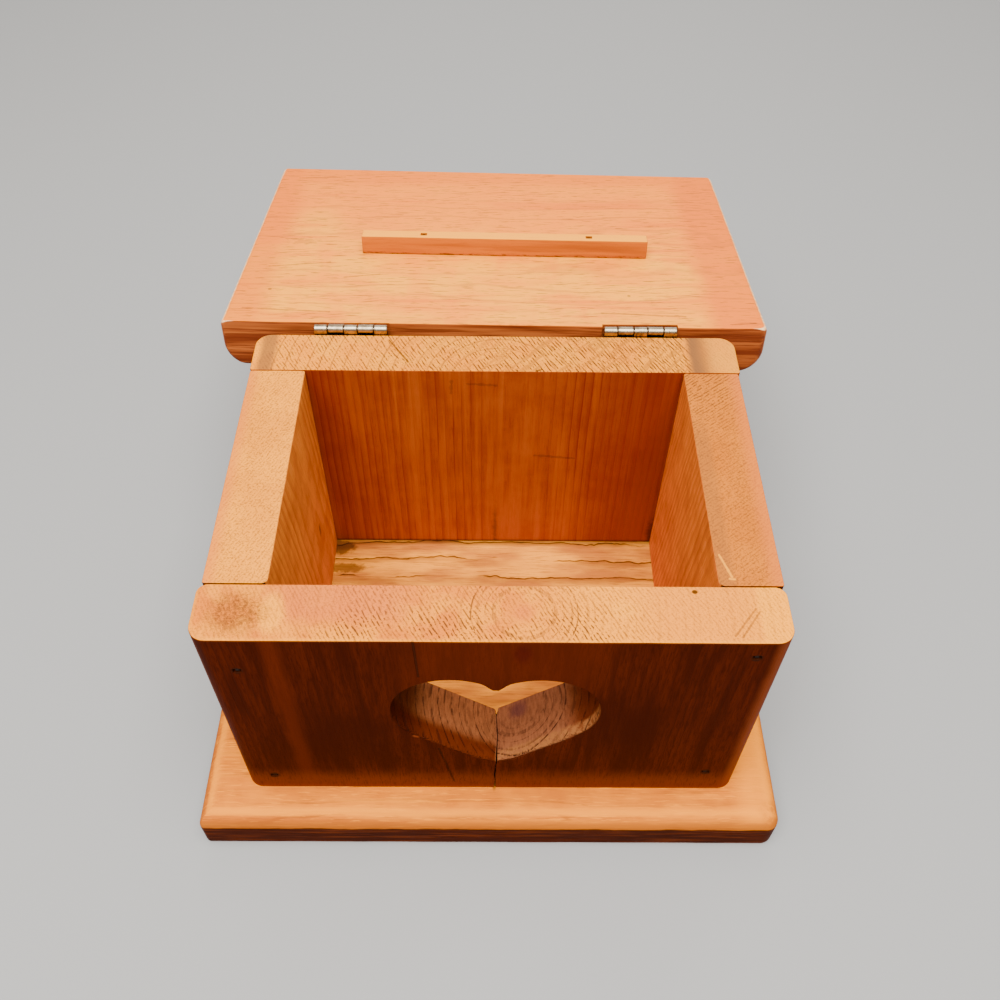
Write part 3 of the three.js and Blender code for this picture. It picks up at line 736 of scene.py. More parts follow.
class Paint(Net):
    """The nodes of one material; places are millimetres in the box's frame, or in the shut lid's"""

    def __init__(self, name, lid=False):
        self.material = bpy.data.materials.new(name)
        self.material.use_nodes = True
        super().__init__(self.material.node_tree)
        self.tree.nodes.clear()
        coordinates = self.node("ShaderNodeTexCoord", output="Object")
        normal = coordinates.other("Normal")
        place = self.vector_math("MULTIPLY", coordinates, (1 / MM,) * 3)
        if lid:
            turn = {"Rotation": (LID_TURN, 0, 0)}
            shift = {"Location": tuple(PIN / MM)}
            inverse = {"vector_type": "TEXTURE"}
            place = self.node("ShaderNodeMapping", inverse, {"Vector": place, **shift, **turn})
            normal = self.node("ShaderNodeMapping", inverse, {"Vector": normal, **turn})
        self.place = place
        self.grit = self.noise(place, 3, 0.6, 0.45) - 0.5
        self.cloud = self.noise(place, 4, 0.6, 0.075) - 0.5
        self.x, self.y, self.z = self.parts(place)
        self.nx, self.ny, self.nz = self.parts(normal)

    def mix(self, share, first, second):
        """first where share is 0 and second where it is 1, as colours"""
        inputs = {0: share}
        for slot, colour in ((6, first), (7, second)):
            inputs[slot] = colour if isinstance(colour, Field) else full(colour)
        return self.node("ShaderNodeMix", {"data_type": "RGBA"}, inputs, 2)

    def coats(self, tone, *coats):
        """The tone under one coat after another, each a share and a colour"""
        for share, colour in coats:
            tone = self.mix(share, tone, colour)
        return tone

    def spaced(self, place, sizes, shift):
        """The place, divided by a length along each axis, so that noise of scale 1 has that size"""
        spaced = self.vector_math("DIVIDE", place, sizes)
        return self.vector_math("ADD", spaced, (shift, shift * 1.7, -shift)) if shift else spaced

    def grain(self, sizes, shift=0, detail=2, roughness=0.5):
        """Noise of a size in millimetres along each axis"""
        return self.noise(self.spaced(self.place, sizes, shift), detail, roughness)

    def turned(self, angle, sizes, shift):
        """The place turned about Z by an angle in degrees, then divided by a length along each axis"""
        inputs = {"Vector": self.place, "Rotation": (0, 0, -math.radians(angle))}
        return self.spaced(self.node("ShaderNodeMapping", {"vector_type": "POINT"}, inputs), sizes, shift)

    def patch(self, centre, sizes, ragged=0, low=0.55, high=1):
        """A soft-edged spot: 1 in its middle and 0 outside its sizes"""
        offset = self.vector_math("DIVIDE", self.vector_math("SUBTRACT", self.place, centre), sizes)
        distance = self.vector_math("LENGTH", offset)
        if ragged:
            distance = distance + (self.cloud if min(sizes) > 6 else self.grit) * ragged
        return distance.between(high, low)

    def lines(self, marks, width, ragged):
        """Fine lines between pairs of places, such as checks or scratches, as one field"""
        drawn = []
        for start, end in marks:
            way = Vector(end) - Vector(start)
            offset = self.vector_math("SUBTRACT", self.place, start)
            share = self.vector_math("DOT_PRODUCT", offset, tuple(way / way.length_squared))
            share = self.least(self.most(share, 0), 1)
            distance = self.vector_math("DISTANCE", offset, self.scaled(tuple(way), share))
            drawn.append((distance + self.grit * ragged).between(width, width * 0.35))
        return self.most(*drawn)

    def wood(self, axis, pith, spacing, lean=(0, 0), wander=2, seed=0, uneven=1.2):
        """Growth rings about a pith, fibres and broad streaks, each a field from 0 to 1.

        axis is the way of the grain, pith the two other coordinates of the rings' centre, and lean how
        far the pith moves for each millimetre along the grain.
        """
        along, first, second = (self.z, self.x, self.y) if axis == "Z" else (self.x, self.y, self.z)
        u = first - pith[0] - along * lean[0]
        v = second - pith[1] - along * lean[1]
        drift = self.vector(u * 0.03, v * 0.03, along * 0.012 + seed)
        radius = self.root(u * u + v * v) + (self.noise(drift, 3, 0.55) - 0.5) * wander * 2
        count = radius / spacing
        count = count + (self.noise(self.vector(count * 0.31, seed, 0)) - 0.5) * uneven
        phase = self.math("FRACT", count)
        strength = self.noise(self.vector(count * 0.23, seed + 4, 0), 1).between(0.3, 0.7) * 0.7 + 0.3

        def fibrous(width, length, roughness):
            return self.noise(self.vector(u / width, v / width, along / length + seed), 3, roughness)

        return SimpleNamespace(
            rings=phase.between(0.25, 0.86) * phase.between(1, 0.9) * strength,
            lines=phase.between(0.8, 0.9) * phase.between(1, 0.93) * strength,
            radius=radius, fibres=fibrous(0.42, 9, 0.7), streaks=fibrous(4, 90, 0.6))

    def saw_marks(self, angle, spacing, length, seed):
        """Short dark strokes in even rows, as a saw leaves them across end grain at an angle in degrees"""
        along, across, _ = self.parts(self.turned(angle, (1, 1, 1), seed))
        wobble = self.noise(self.vector(along / 9, across / 5, seed))
        rows = self.math("SINE", (across / spacing + wobble * 1.6) * (2 * math.pi))
        dashes = self.noise(self.vector(along / length, across / spacing * 0.9, seed), 2, 0.7)
        return rows.between(0, 0.8) * dashes.between(0.42, 0.56)

    def speckle(self, size, low, high, seed):
        """Scattered fine specks of about one size in millimetres"""
        return self.grain((size,) * 3, seed, 2, 0.7).between(low, high)

    def spread(self, size, seed):
        """Broad soft clouds"""
        return self.grain((size,) * 3, seed, 3).between(0.35, 0.65)

    def sawn_top(self):
        """1 on a wall's bare upper face"""
        return self.nz.between(0.55, 0.8) * self.z.between(114, 115.5)

    def surface(self, **inputs):
        """Ends the material in one shader"""
        shader = self.node("ShaderNodeBsdfPrincipled", None, inputs)
        last = self.tree.nodes.new("ShaderNodeOutputMaterial")
        self.tree.links.new(shader.socket, last.inputs["Surface"])
        return self.material

    def relief(self, height, strength=1.0):
        """Bumps of a height in millimetres"""
        return self.node("ShaderNodeBump", None, {"Strength": strength, "Distance": MM, "Height": height})

    def finish(self, colour, roughness, height, gloss):
        """The surface: colour and roughness fields, and a relief height in millimetres"""
        return self.surface(**{
            "Base Color": colour, "Roughness": roughness, "Normal": self.relief(height),
            "Specular IOR Level": gloss, "Specular Tint": full(WARM_GLOSS),
        })


SAW_ANGLE = -60.0
VARNISH_GLOSS = 0.012
WAX_GLOSS = 0.12
WARM_GLOSS = (1.0, 0.5, 0.2)
FRONT_MM = -63.5
WALL_TOP_MM = 116.5


def varnish(paint, wood, colour, dark):
    """The varnish of the walls: upright streaks and fine fibres, dark red-brown outside"""
    return paint.coats(
        colour, (wood.streaks.between(0.38, 0.64) * 0.75, dark), (wood.rings * 0.35, dark),
        (wood.lines * 0.5, dark), (wood.fibres.between(0.48, 0.62) * 0.7, dark))


def front_material(finish):
    paint = Paint("front_board_finish")
    wood = paint.wood("Z", (9.4, -43.9), 2.1, (0, -0.0834), 0.7, 1, 0.8)
    x, y, z = paint.x, paint.y, paint.z
    wobble = paint.cloud * 12
    darkest = paint.most(
        paint.patch((-47, FRONT_MM, 58), (26, 20, 34), 1.1, 0.2),
        paint.patch((46, FRONT_MM, 66), (24, 20, 34), 1.1, 0.1) * 0.8)
    # varnish worn thin on the rounded edges, with a painted highlight on their rounding
    upright_edges = paint.most((x + wobble * 0.15).between(79, 83), x.between(-82.5, -84.3) * 0.7)
    flat_end = abs(paint.nx).between(0.85, 0.98)
    worn_and_lit_edge = paint.most(upright_edges * (1 - flat_end * 0.8), z.between(115.6, 116.3) * 0.5)
    scars = paint.lines([
        ((-21.9, FRONT_MM, 118), (-21.3, FRONT_MM, 97)),
        ((-17, FRONT_MM, 50), (-12.5, FRONT_MM, 24)),
    ], 0.4, 0.5)
    brad_stains = [
        (paint.patch((x / MM, y / MM, z / MM), (2.1, 3, 2.3), 0.8) * 0.85, finish.dirt)
        for _, x, y, z, _ in brads_of("front")
    ]
    face = paint.coats(
        varnish(paint, wood, finish.front, finish.front_dark),
        (darkest * 0.75, finish.front_dark),
        (abs(x + 62.5 + wobble * 0.2).between(4.5, 0.5) * 0.55, finish.front_light),
        ((x + wobble).band(-26, 34, 8) * z.between(80, 100) * 0.45, finish.front_light),
        # lighter orange toward the foot of the front
        ((z + wobble * 0.35).between(36, 24) * (0.9 - wood.fibres.between(0.5, 0.66) * 0.4),
         finish.front_foot),
        ((z + wobble * 0.1).between(22.5, 19.6) * 0.45, finish.worn_orange),
        (worn_and_lit_edge * 0.8, finish.worn_orange),
        (paint.patch((9, FRONT_MM, 110), (4, 4, 7), 0.5, 0.3) * 0.6, finish.front_red),
        (paint.patch((-23.4, -63, 58.8), (2.2, 4, 1.4), 0.4) * 0.9, finish.worn_orange),
        (scars * 0.6, finish.dirt), *brad_stains)
    inner = varnish(paint, wood, finish.inner_back, finish.inner_back_dark)
    tone = paint.mix(paint.ny.between(0.5, 0.8), face, inner)

    # Inside the heart, sawn end grain under a thin stain that thickens toward its soft front edge
    in_heart = x.band(HEART_X_MM - 36, HEART_X_MM + 36, 0.5) * z.band(37, 98, 0.5)
    in_heart = in_heart * abs(paint.ny).between(0.985, 0.9)
    right = x.between(1.2, 2.2)
    grown = wood.radius / 2.3
    slow = paint.noise(paint.vector(grown * 0.8, 0, 6))
    phase = paint.math("FRACT", grown + (slow - 0.5) * 1.6 + paint.grit * 0.25)
    broken = paint.noise(paint.vector(x / 0.8, y / 3.5, z / 3.5), 2, 0.6)
    rings = phase.between(0.6, 0.86) * phase.between(1, 0.9)
    rings = rings * wood.radius.between(5, 9) * (0.4 + 0.6 * slow.between(0.35, 0.6))
    rings = rings * (0.2 + 0.8 * broken.between(0.4, 0.56))
    slash = paint.lines([((3.2, -57, 47), (4.6, -52.5, 47.6))], 0.6, 0.5)
    left_deep = (y + paint.cloud * 2.5).between(-55.5, -60) * (1 - right)
    lobe = abs(x - HEART_X_MM).between(20, 29)
    rim = (y + paint.grit * 1.6).between(-60, -61.4) * y.between(FRONT_MM, -63) * right
    rim = rim * z.between(86, 74)
    crumbs = paint.speckle(1.5, 0.36, 0.58, 5)
    sawn = paint.coats(
        paint.mix(right, finish.heart_left, finish.heart_right),
        (broken.between(0.35, 0.7) * 0.35, finish.heart_dark),
        (paint.speckle(0.7, 0.5, 0.8, 3) * 0.3, finish.heart_dark),
        ((wood.radius + paint.grit * 2).between(4.2, 1.2) * right * 0.6, finish.heart_purple),
        (slash * 0.6 * right, finish.heart_pale),
        (left_deep * 0.92, finish.front),
        (lobe * 0.85, paint.mix(right, finish.front_dark, finish.front)),
        (rim * (0.3 + 0.7 * crumbs), finish.heart_pale),
        (rings * (0.7 + right * 0.2), finish.heart_dark))
    tone = paint.mix(in_heart, tone, sawn)

    # The bare sawn top
    lighter = paint.most(paint.spread(9, 2) * 0.5, x.between(0, 30) * 0.7)
    pink = paint.most(
        (x + wobble * 0.4).band(-61, -24, 7) * y.between(-61, -53), (x + wobble * 0.4).band(44, 75, 7) * 0.3)
    pale = paint.most(
        (x + wobble * 0.1).between(75.5, 77.5),
        paint.patch((-62.5, -54.5, WALL_TOP_MM), (5, 9, 20), 0.4, 0.4),
        paint.patch((37.5, -52.5, WALL_TOP_MM), (6.5, 4.5, 20), 0.5, 0.2) * 0.7)
    olive = paint.patch((-71.5, -54, WALL_TOP_MM), (12, 9.5, 20), 1, 0.3)
    near = wood.radius.between(24, 13) * wood.radius.between(5, 7)
    marks = paint.saw_marks(SAW_ANGLE, 1.15, 1.5, 5)
    marked = (x + wobble).band(-50, 42, 12) * (0.4 + 0.6 * y.between(-49, -58))
    marked = marked * paint.cloud.between(-0.16, 0.06)
    scratches = paint.lines([
        ((68.4, -61.1, WALL_TOP_MM), (75.5, -52, WALL_TOP_MM)),
        ((70.4, -61.5, WALL_TOP_MM), (76.5, -53, WALL_TOP_MM)),
    ], 0.45, 0.4)
    # painted highlight along the arrises of the sawn top
    arris = paint.most(abs(x).between(83.6, 85), y.between(-62.2, -63.3))
    bare = paint.coats(
        paint.mix(lighter, finish.front_top, finish.front_top_pale),
        (pink * 0.85, finish.front_top_pink),
        (pale * 0.85, finish.front_top_pale),
        (olive * (0.22 + 0.42 * paint.speckle(0.9, 0.4, 0.6, 11)), finish.top_marks),
        (rings * (0.2 + near * 0.8), finish.top_marks),
        (wood.radius.between(4.2, 0.5) * 0.3, finish.pith),
        (marks * (0.22 + marked * 0.7), finish.top_marks),
        (paint.speckle(0.55, 0.5, 0.66, 7) * (0.3 + olive * 0.3), finish.top_marks),
        (paint.patch((58.7, -46.3, WALL_TOP_MM), (1.1, 0.9, 4), 0.2) * 0.9, finish.dirt),
        (scratches * 0.5, finish.top_marks),
        (arris * 0.5, finish.front_top_pale))
    top = paint.sawn_top()
    height = wood.fibres * 0.05 - marks * top * 0.08 - wood.lines * 0.05 - scars * 0.3
    height = height + (crumbs * arris * 0.35 - rings * 0.2) * in_heart
    roughness = 0.46 + wood.fibres * 0.12 + top * 0.2
    return paint.finish(paint.mix(top, tone, bare), roughness, height, VARNISH_GLOSS)


def back_material(finish):
    paint = Paint("back_board_finish")
    wood = paint.wood("Z", (2, 41), 4.2, wander=1, seed=7, uneven=0.6)
    face = paint.wood("Z", (9, 30), 2.55, wander=0.9, seed=8, uneven=0.5)
    x, z = paint.x, paint.z
    wobble = paint.cloud * 12
    away = abs(x - 9 + wobble * 0.5).between(8, 24)
    red_sides = paint.most(x.between(26, 58) * 0.65, x.between(-38, -64) * 0.45)
    dashes = paint.lines([
        ((-9, 45.3, 110.4), (1, 45.3, 109.8)), ((16, 45.3, 73.2), (31, 45.3, 71.6)),
        ((-14.6, 45.3, 111.5), (-14.8, 45.3, 106)),
    ], 0.8, 1.9)
    smudges = paint.most(
        paint.patch((1.2, 45.3, 28), (1.6, 4, 20), 0.9, 0.1) * 0.8,
        paint.patch((66, 45.3, 26), (3, 4, 14), 1.2, 0.1))
    inner = paint.coats(
        finish.inner_back,
        (paint.cloud.between(-0.15, 0.2) * 0.4, finish.inner_back_dark),
        (face.rings * (0.15 + away * 0.4), finish.inner_back_dark),
        (face.lines * (0.2 + away * 0.7), finish.inner_back_dark),
        (face.fibres.between(0.5, 0.68) * 0.45, finish.inner_back_dark),
        (face.streaks.between(0.46, 0.64) * 0.45, finish.inner_back_light),
        (red_sides, finish.inner_back_dark),
        # lighter toward the bottom of the inner face
        ((z + wobble).between(60, 26) * 0.1, finish.inner_back_light),
        (paint.most(dashes * 0.32, smudges * 0.6), finish.dirt),
        # darker along the wall's joint with the floor
        (z.between(21, 19.3) * 0.6, finish.dirt))
    outer = varnish(paint, wood, finish.front, finish.front_dark)
    tone = paint.mix(paint.ny.between(-0.5, -0.8), outer, inner)

    # The bare sawn top
    marked = (x + wobble * 0.3).band(-80, 70, 3)
    deep = (x + wobble * 3).between(-70, 30)
    crossing = paint.noise(paint.turned(48, (16, 1.6, 9), 3)).between(0.5, 0.6)
    marks = paint.saw_marks(SAW_ANGLE, 1.15, 3.6, 9) * (0.25 + marked * 0.75) * (1 - crossing * 0.7)
    shaded = x + wobble * 0.25
    grey = paint.most(
        (x + wobble * 0.15).band(-82, -76.5, 1.4) * 0.75,
        shaded.between(67.5, 70.5) * shaded.between(81, 71) * 0.95)
    slashes = paint.lines([
        ((-37.1, 61, WALL_TOP_MM), (-29.7, 49.7, WALL_TOP_MM)),
        ((15, 45.6, WALL_TOP_MM), (17, 46.4, WALL_TOP_MM)),
    ], 0.5, 0.3)
    bare = paint.coats(
        paint.mix(paint.spread(10, 2) * 0.5, finish.back_top, finish.back_top_pale),
        (marks * (0.7 + deep * 0.3), finish.top_marks),
        (crossing * marked * deep * 0.3 + deep * 0.1, finish.top_marks),
        (wood.lines * marked * 0.55, finish.top_marks),
        (paint.speckle(0.55, 0.5, 0.66, 8) * 0.4, finish.top_marks),
        (grey, finish.grey_stain),
        ((x + wobble * 0.2).between(74, 78) * 0.35, finish.back_end),
        (slashes * 0.7, finish.dirt))
    top = paint.sawn_top()
    height = wood.fibres * 0.05 - marks * top * 0.1 - face.lines * 0.04
    roughness = 0.44 + wood.fibres * 0.12 + top * 0.22
    return paint.finish(paint.mix(top, tone, bare), roughness, height, VARNISH_GLOSS)


def side_material(finish, left):
    paint = Paint("left_side_finish" if left else "right_side_finish")
    seed = 13 if left else 21
    wood = paint.wood("Z", (-96, 30) if left else (98, -24), 2.6, (0, -0.16), 3, seed)
    stain = finish.inner_back
    inner = paint.coats(
        finish.inner_left if left else finish.inner_right,
        (paint.cloud.between(-0.15, 0.2) * 0.4, stain), (wood.rings * 0.5, stain),
        (wood.fibres.between(0.5, 0.68) * 0.45, stain))
    if left:
        knot = paint.patch((-64.95, 21.9, 56.3), (4, 2, 5), 0.6, 0.2)
        inner = paint.mix(knot * 0.6, inner, finish.dirt)
    outer = varnish(paint, wood, finish.front, finish.front_dark)
    tone = paint.mix((paint.nx if left else -paint.nx).between(0.5, 0.8), outer, inner)

    pale, dark = (
        (finish.left_top, finish.left_top_dark) if left else (finish.right_top, finish.right_top_dark))
    marks = paint.saw_marks(64 if left else 38, 1.1, 2.2, seed)
    weight = 0.22 if left else 0.3 + 0.4 * paint.y.between(8, 36)
    edge = paint.x.between(-79, -83.6) if left else paint.x.between(79, 84.6)
    bare = paint.coats(
        paint.mix(paint.spread(12, seed) * 0.6, pale, dark),
        (marks * weight, finish.top_marks),
        (paint.speckle(0.6, 0.5, 0.64, seed) * 0.45, finish.top_marks),
        (edge * 0.6, finish.front_top_pink))
    if not left:
        strip = paint.x.between(72.5, 69.5) * paint.y.between(30, 10)
        hair = paint.lines([
            ((67.6, -33, WALL_TOP_MM), (70.3, -41, WALL_TOP_MM)),
            ((69.6, -41.6, WALL_TOP_MM), (71, -41.8, WALL_TOP_MM)),
        ], 0.55, 0.3)
        bare = paint.coats(bare, (strip * 0.35, finish.grey_stain), (hair * 0.7, finish.back_top_pale))
    top = paint.sawn_top()
    height = wood.fibres * 0.05 - marks * top * 0.06
    roughness = 0.44 + wood.fibres * 0.12 + top * 0.22
    return paint.finish(paint.mix(top, tone, bare), roughness, height, VARNISH_GLOSS)


def base_material(finish):
    paint = Paint("base_board_finish")
    wood = paint.wood("X", (30, -26), 3.6, wander=6, seed=31, uneven=2)
    clouds = paint.grain((30, 9, 9), 1, 3)
    # painted shade on the base under the foot of the split
    split_foot_shade = paint.patch((SPLIT_FOOT_X_MM, -60, 19), (1.3, 5.5, 2), 0, 0.6)
    tone = paint.coats(
        finish.base_top,
        (clouds.between(0.35, 0.7) * 0.7, finish.base_dark),
        (wood.rings * 0.4, finish.base_dark),
        (wood.lines * 0.6, finish.base_lines),
        (wood.fibres.between(0.52, 0.66) * 0.5, finish.base_lines),
        (paint.grain((7, 0.7, 0.7), 8).between(0.58, 0.66) * 0.6, finish.base_brow),
        (wood.streaks.between(0.5, 0.66) * 0.4, finish.base_brow),
        (wood.streaks.between(0.5, 0.36) * 0.5, finish.base_dark),
        (split_foot_shade, finish.dirt),
        (paint.x.between(84, 92) * 0.6, finish.base_brow))

    # The floor of the box
    inside = paint.x.band(-65.5, 67, 0.5) * paint.y.band(-44.6, 46, 0.5) * paint.nz.between(0.5, 0.8)
    waves = (paint.grain((52, 60, 9), 3, 5, 0.62) - 0.5) * 14
    phase = paint.math("FRACT", (paint.y + waves) / 8.8)
    broken = paint.grain((40, 4, 9), 6, 3)
    cracks = phase.between(0.91, 0.97) * phase.between(1, 0.98) * broken.between(0.4, 0.52)
    stain = paint.most(
        paint.patch((-63, 42, 19.05), (7, 5, 8), 0.8), paint.patch((-61, 31, 19.05), (11, 3, 8), 1.2) * 0.8)
    floor = paint.coats(
        paint.mix(clouds.between(0.35, 0.65), finish.floor, finish.floor_dark),
        (wood.fibres.between(0.5, 0.68) * 0.5, finish.base_lines),
        (phase.between(0.3, 0.95) * broken.between(0.36, 0.6) * 0.55, finish.base_lines),
        (cracks * 0.85, finish.dirt),
        # stains at the left, and darker along the floor's joint with the back wall
        (paint.most(stain * 0.75, paint.y.between(42.5, 45) * 0.55), finish.dirt))

    # The worn, rounded edge: pale along its brow, wear with a painted highlight; orange below; and dark on
    # the upright face, dark stain with painted shade
    ragged = (paint.grain((9, 9, 3), 5, 4) - 0.5) * 3
    outside = 1 - inside
    strips = paint.grain((24, 24, 1.5), 12, 3, 0.6)
    # the upright face: its dark stain, darkened further as painted shade
    side = paint.coats(
        paint.mix(wood.fibres.between(0.4, 0.7), finish.base_side, finish.base_side_dark),
        (clouds.between(0.35, 0.65) * 0.5, finish.base_side_dark),
        (strips.between(0.46, 0.66) * 0.4, finish.worn_orange))
    # painted shade in the crease where the rounding meets the upright face
    crease_shade = abs(paint.z + ragged * 0.7 - 12.4).between(0.8, 0.2) * outside
    corner = paint.patch((98, -72, 15), (9, 8, 7), 1.6, 0.3)
    tone = paint.coats(
        tone, (inside, floor),
        # a painted highlight on the worn pale brow of the rounded edge
        ((paint.z + ragged * 0.25).band(17.6, 18.95, 0.5) * outside * 0.75, finish.base_brow),
        ((paint.z + ragged * 0.3).between(17.2, 15) * 0.75, finish.base_orange),
        # painted shade together with the dark stain on the upright face below the rounding
        ((paint.z + ragged * 0.7).between(13.1, 12), side),
        (crease_shade * 0.6, finish.base_side_dark),
        (corner * (0.35 + 0.5 * paint.grit.between(-0.08, 0.06)), finish.base_orange),
        (paint.nz.between(-0.5, -0.8), finish.back_top))
    height = wood.fibres * 0.06 - cracks * inside * 0.2 - wood.lines * 0.05
    return paint.finish(tone, 0.42 + wood.fibres * 0.14, height, VARNISH_GLOSS)


def lid_material(finish):
    paint = Paint("lid_board_finish", lid=True)
    wood = paint.wood("X", (-60, -75), 4, wander=5, seed=41)
    x, y, nz = paint.x, paint.y, paint.nz
    clouds = paint.grain((34, 14, 9), 1, 3)
    wobble = paint.cloud * 16
    border = paint.most(
        (x + wobble * 0.3).between(74, 84), (x + wobble * 0.3).between(-78, -90) * 0.8,
        (y + wobble * 0.2).between(-118, -128) * 0.6)
    streaks = wood.streaks.between(0.52, 0.64) * clouds.between(0.3, 0.6)
    marks = paint.lines([
        ((-87.5, -44.9, -0.9), (-64.5, -48.6, -0.9)), ((-57.2, -36.6, -0.9), (-44, -39.2, -0.9)),
        ((-88.3, -128.8, -0.9), (-68, -130.4, -0.9)), ((-92, -13, -0.9), (-60, -10.5, -0.9)),
        ((40, -11, -0.9), (70, -9, -0.9)), ((86, -3.6, -0.9), (95, -4.6, -0.9)),
    ], 0.6, 1.3)
    scribble = paint.patch((-76.5, -66.5, -0.9), (7, 3, 4), 2.6, 0.4)
    specks = paint.most(
        paint.patch((-84.4, -26.8, -0.9), (0.9,) * 3), paint.patch((50.9, -23.7, -0.9), (0.8,) * 3))
    tone = paint.coats(
        finish.honey,
        ((y + wobble).between(-52, -86) * 0.8, finish.honey_deep),
        (clouds.between(0.4, 0.66) * 0.6, finish.honey_deep),
        (paint.grain((9, 40, 9), 9).between(0.5, 0.7) * 0.4, finish.honey_deep),
        (paint.patch((-74, -80, -0.9), (16, 22, 20), 0.4, 0.2) * 0.8, finish.honey),
        (paint.most(border, streaks * 0.7) * 0.85, finish.honey_rim),
        (y.between(-6.5, -3) * 0.3, finish.honey_rim),
        (paint.grain((7, 0.6, 3), 4, 2, 0.6).between(0.57, 0.67) * 0.55, finish.top_marks),
        (wood.lines * 0.35, finish.lid_edge),
        (wood.fibres.between(0.5, 0.66) * 0.3, finish.honey_rim),
        (paint.most(marks * 0.4, scribble * 0.25, specks * 0.6), finish.top_marks))

    # The edges and the outer face are stained; the arrises are worn pale
    grain = paint.grain((34, 1.1, 1.1), 6, 3, 0.6)
    sawn = paint.mix(wood.rings * 0.6 + wood.lines * 0.3, finish.lid_edge, finish.lid_edge_dark)
    check = paint.lines([
        ((-91, -2.3, 3), (-91.3, -2.3, 10)), ((-91.3, -2.3, 10), (-93.6, -2.3, 12.6)),
        ((-91.3, -2.3, 10), (-88.8, -2.3, 12.4)),
    ], 0.7, 0.4)
    stained = paint.coats(
        paint.mix(wood.streaks.between(0.35, 0.65), finish.lid_edge, finish.lid_edge_dark),
        (grain.between(0.5, 0.62) * 0.8, finish.lid_edge_dark),
        (abs(paint.nx).between(0.6, 0.85), sawn),
        (nz.between(0.6, 0.95) * 0.6, finish.front_foot),
        (check * 0.9, finish.dirt))
    outer = nz.between(-0.75, -0.3)
    arris = paint.most(
        nz.band(-0.84, -0.4, 0.1) * abs(x).between(93, 96), nz.band(-0.9, -0.3, 0.08) * y.between(-128, -133))
    rubbed = 0.5 + 0.5 * paint.grit.between(-0.1, 0.06)
    tone = paint.coats(tone, (outer, stained), (arris * rubbed, finish.worn_white))
    height = wood.fibres * 0.05 - marks * 0.12 - grain.between(0.5, 0.62) * outer * 0.08
    return paint.finish(tone, 0.46 + wood.fibres * 0.12, height, WAX_GLOSS)


def batten_material(finish):
    paint = Paint("batten_finish", lid=True)
    wood = paint.wood("X", (-40, -30), 2.2, seed=51)
    low_specks = paint.z.between(-2.4, -1.2) * paint.grain((2, 0.8, 0.8), 2, 3, 0.7).between(0.5, 0.62)
    upper = paint.mix(wood.fibres.between(0.5, 0.72) * 0.3, finish.honey, finish.honey_rim)
    tone = paint.coats(
        finish.batten_face,
        (wood.streaks.between(0.35, 0.65), finish.batten_dark),
        (wood.fibres.between(0.5, 0.7) * 0.5, finish.batten_dark),
        (low_specks * 0.8, finish.dirt),
        (paint.nz.between(-0.6, -0.85), upper))
    height = wood.fibres * 0.08 - low_specks * 0.15
    return paint.finish(tone, 0.5 + wood.fibres * 0.1, height, WAX_GLOSS)


def metal_material(name, colour, roughness, dull):
    """A worn metal: cloudy in colour and gloss"""
    paint = Paint(name)
    cloud = paint.grain((2.2,) * 3, 0, 3)
    return paint.surface(**{
        "Base Color": paint.mix(cloud.between(0.4, 0.7) * 0.6, colour, dull),
        "Roughness": roughness + cloud * 0.15, "Metallic": 1.0,
        "Normal": paint.relief(paint.grain((0.3, 1.2, 1.2)) * 0.03, 0.4),
    })


# What a user would change


def colour_property(name, description, *levels):
    return bpy.props.FloatVectorProperty(
        name=name, description=description, subtype="COLOR", size=3, min=0.0, max=1.0, default=srgb(*levels))


def number_property(name, description, default, **limits):
    return bpy.props.FloatProperty(name=name, description=description, default=default, **limits)


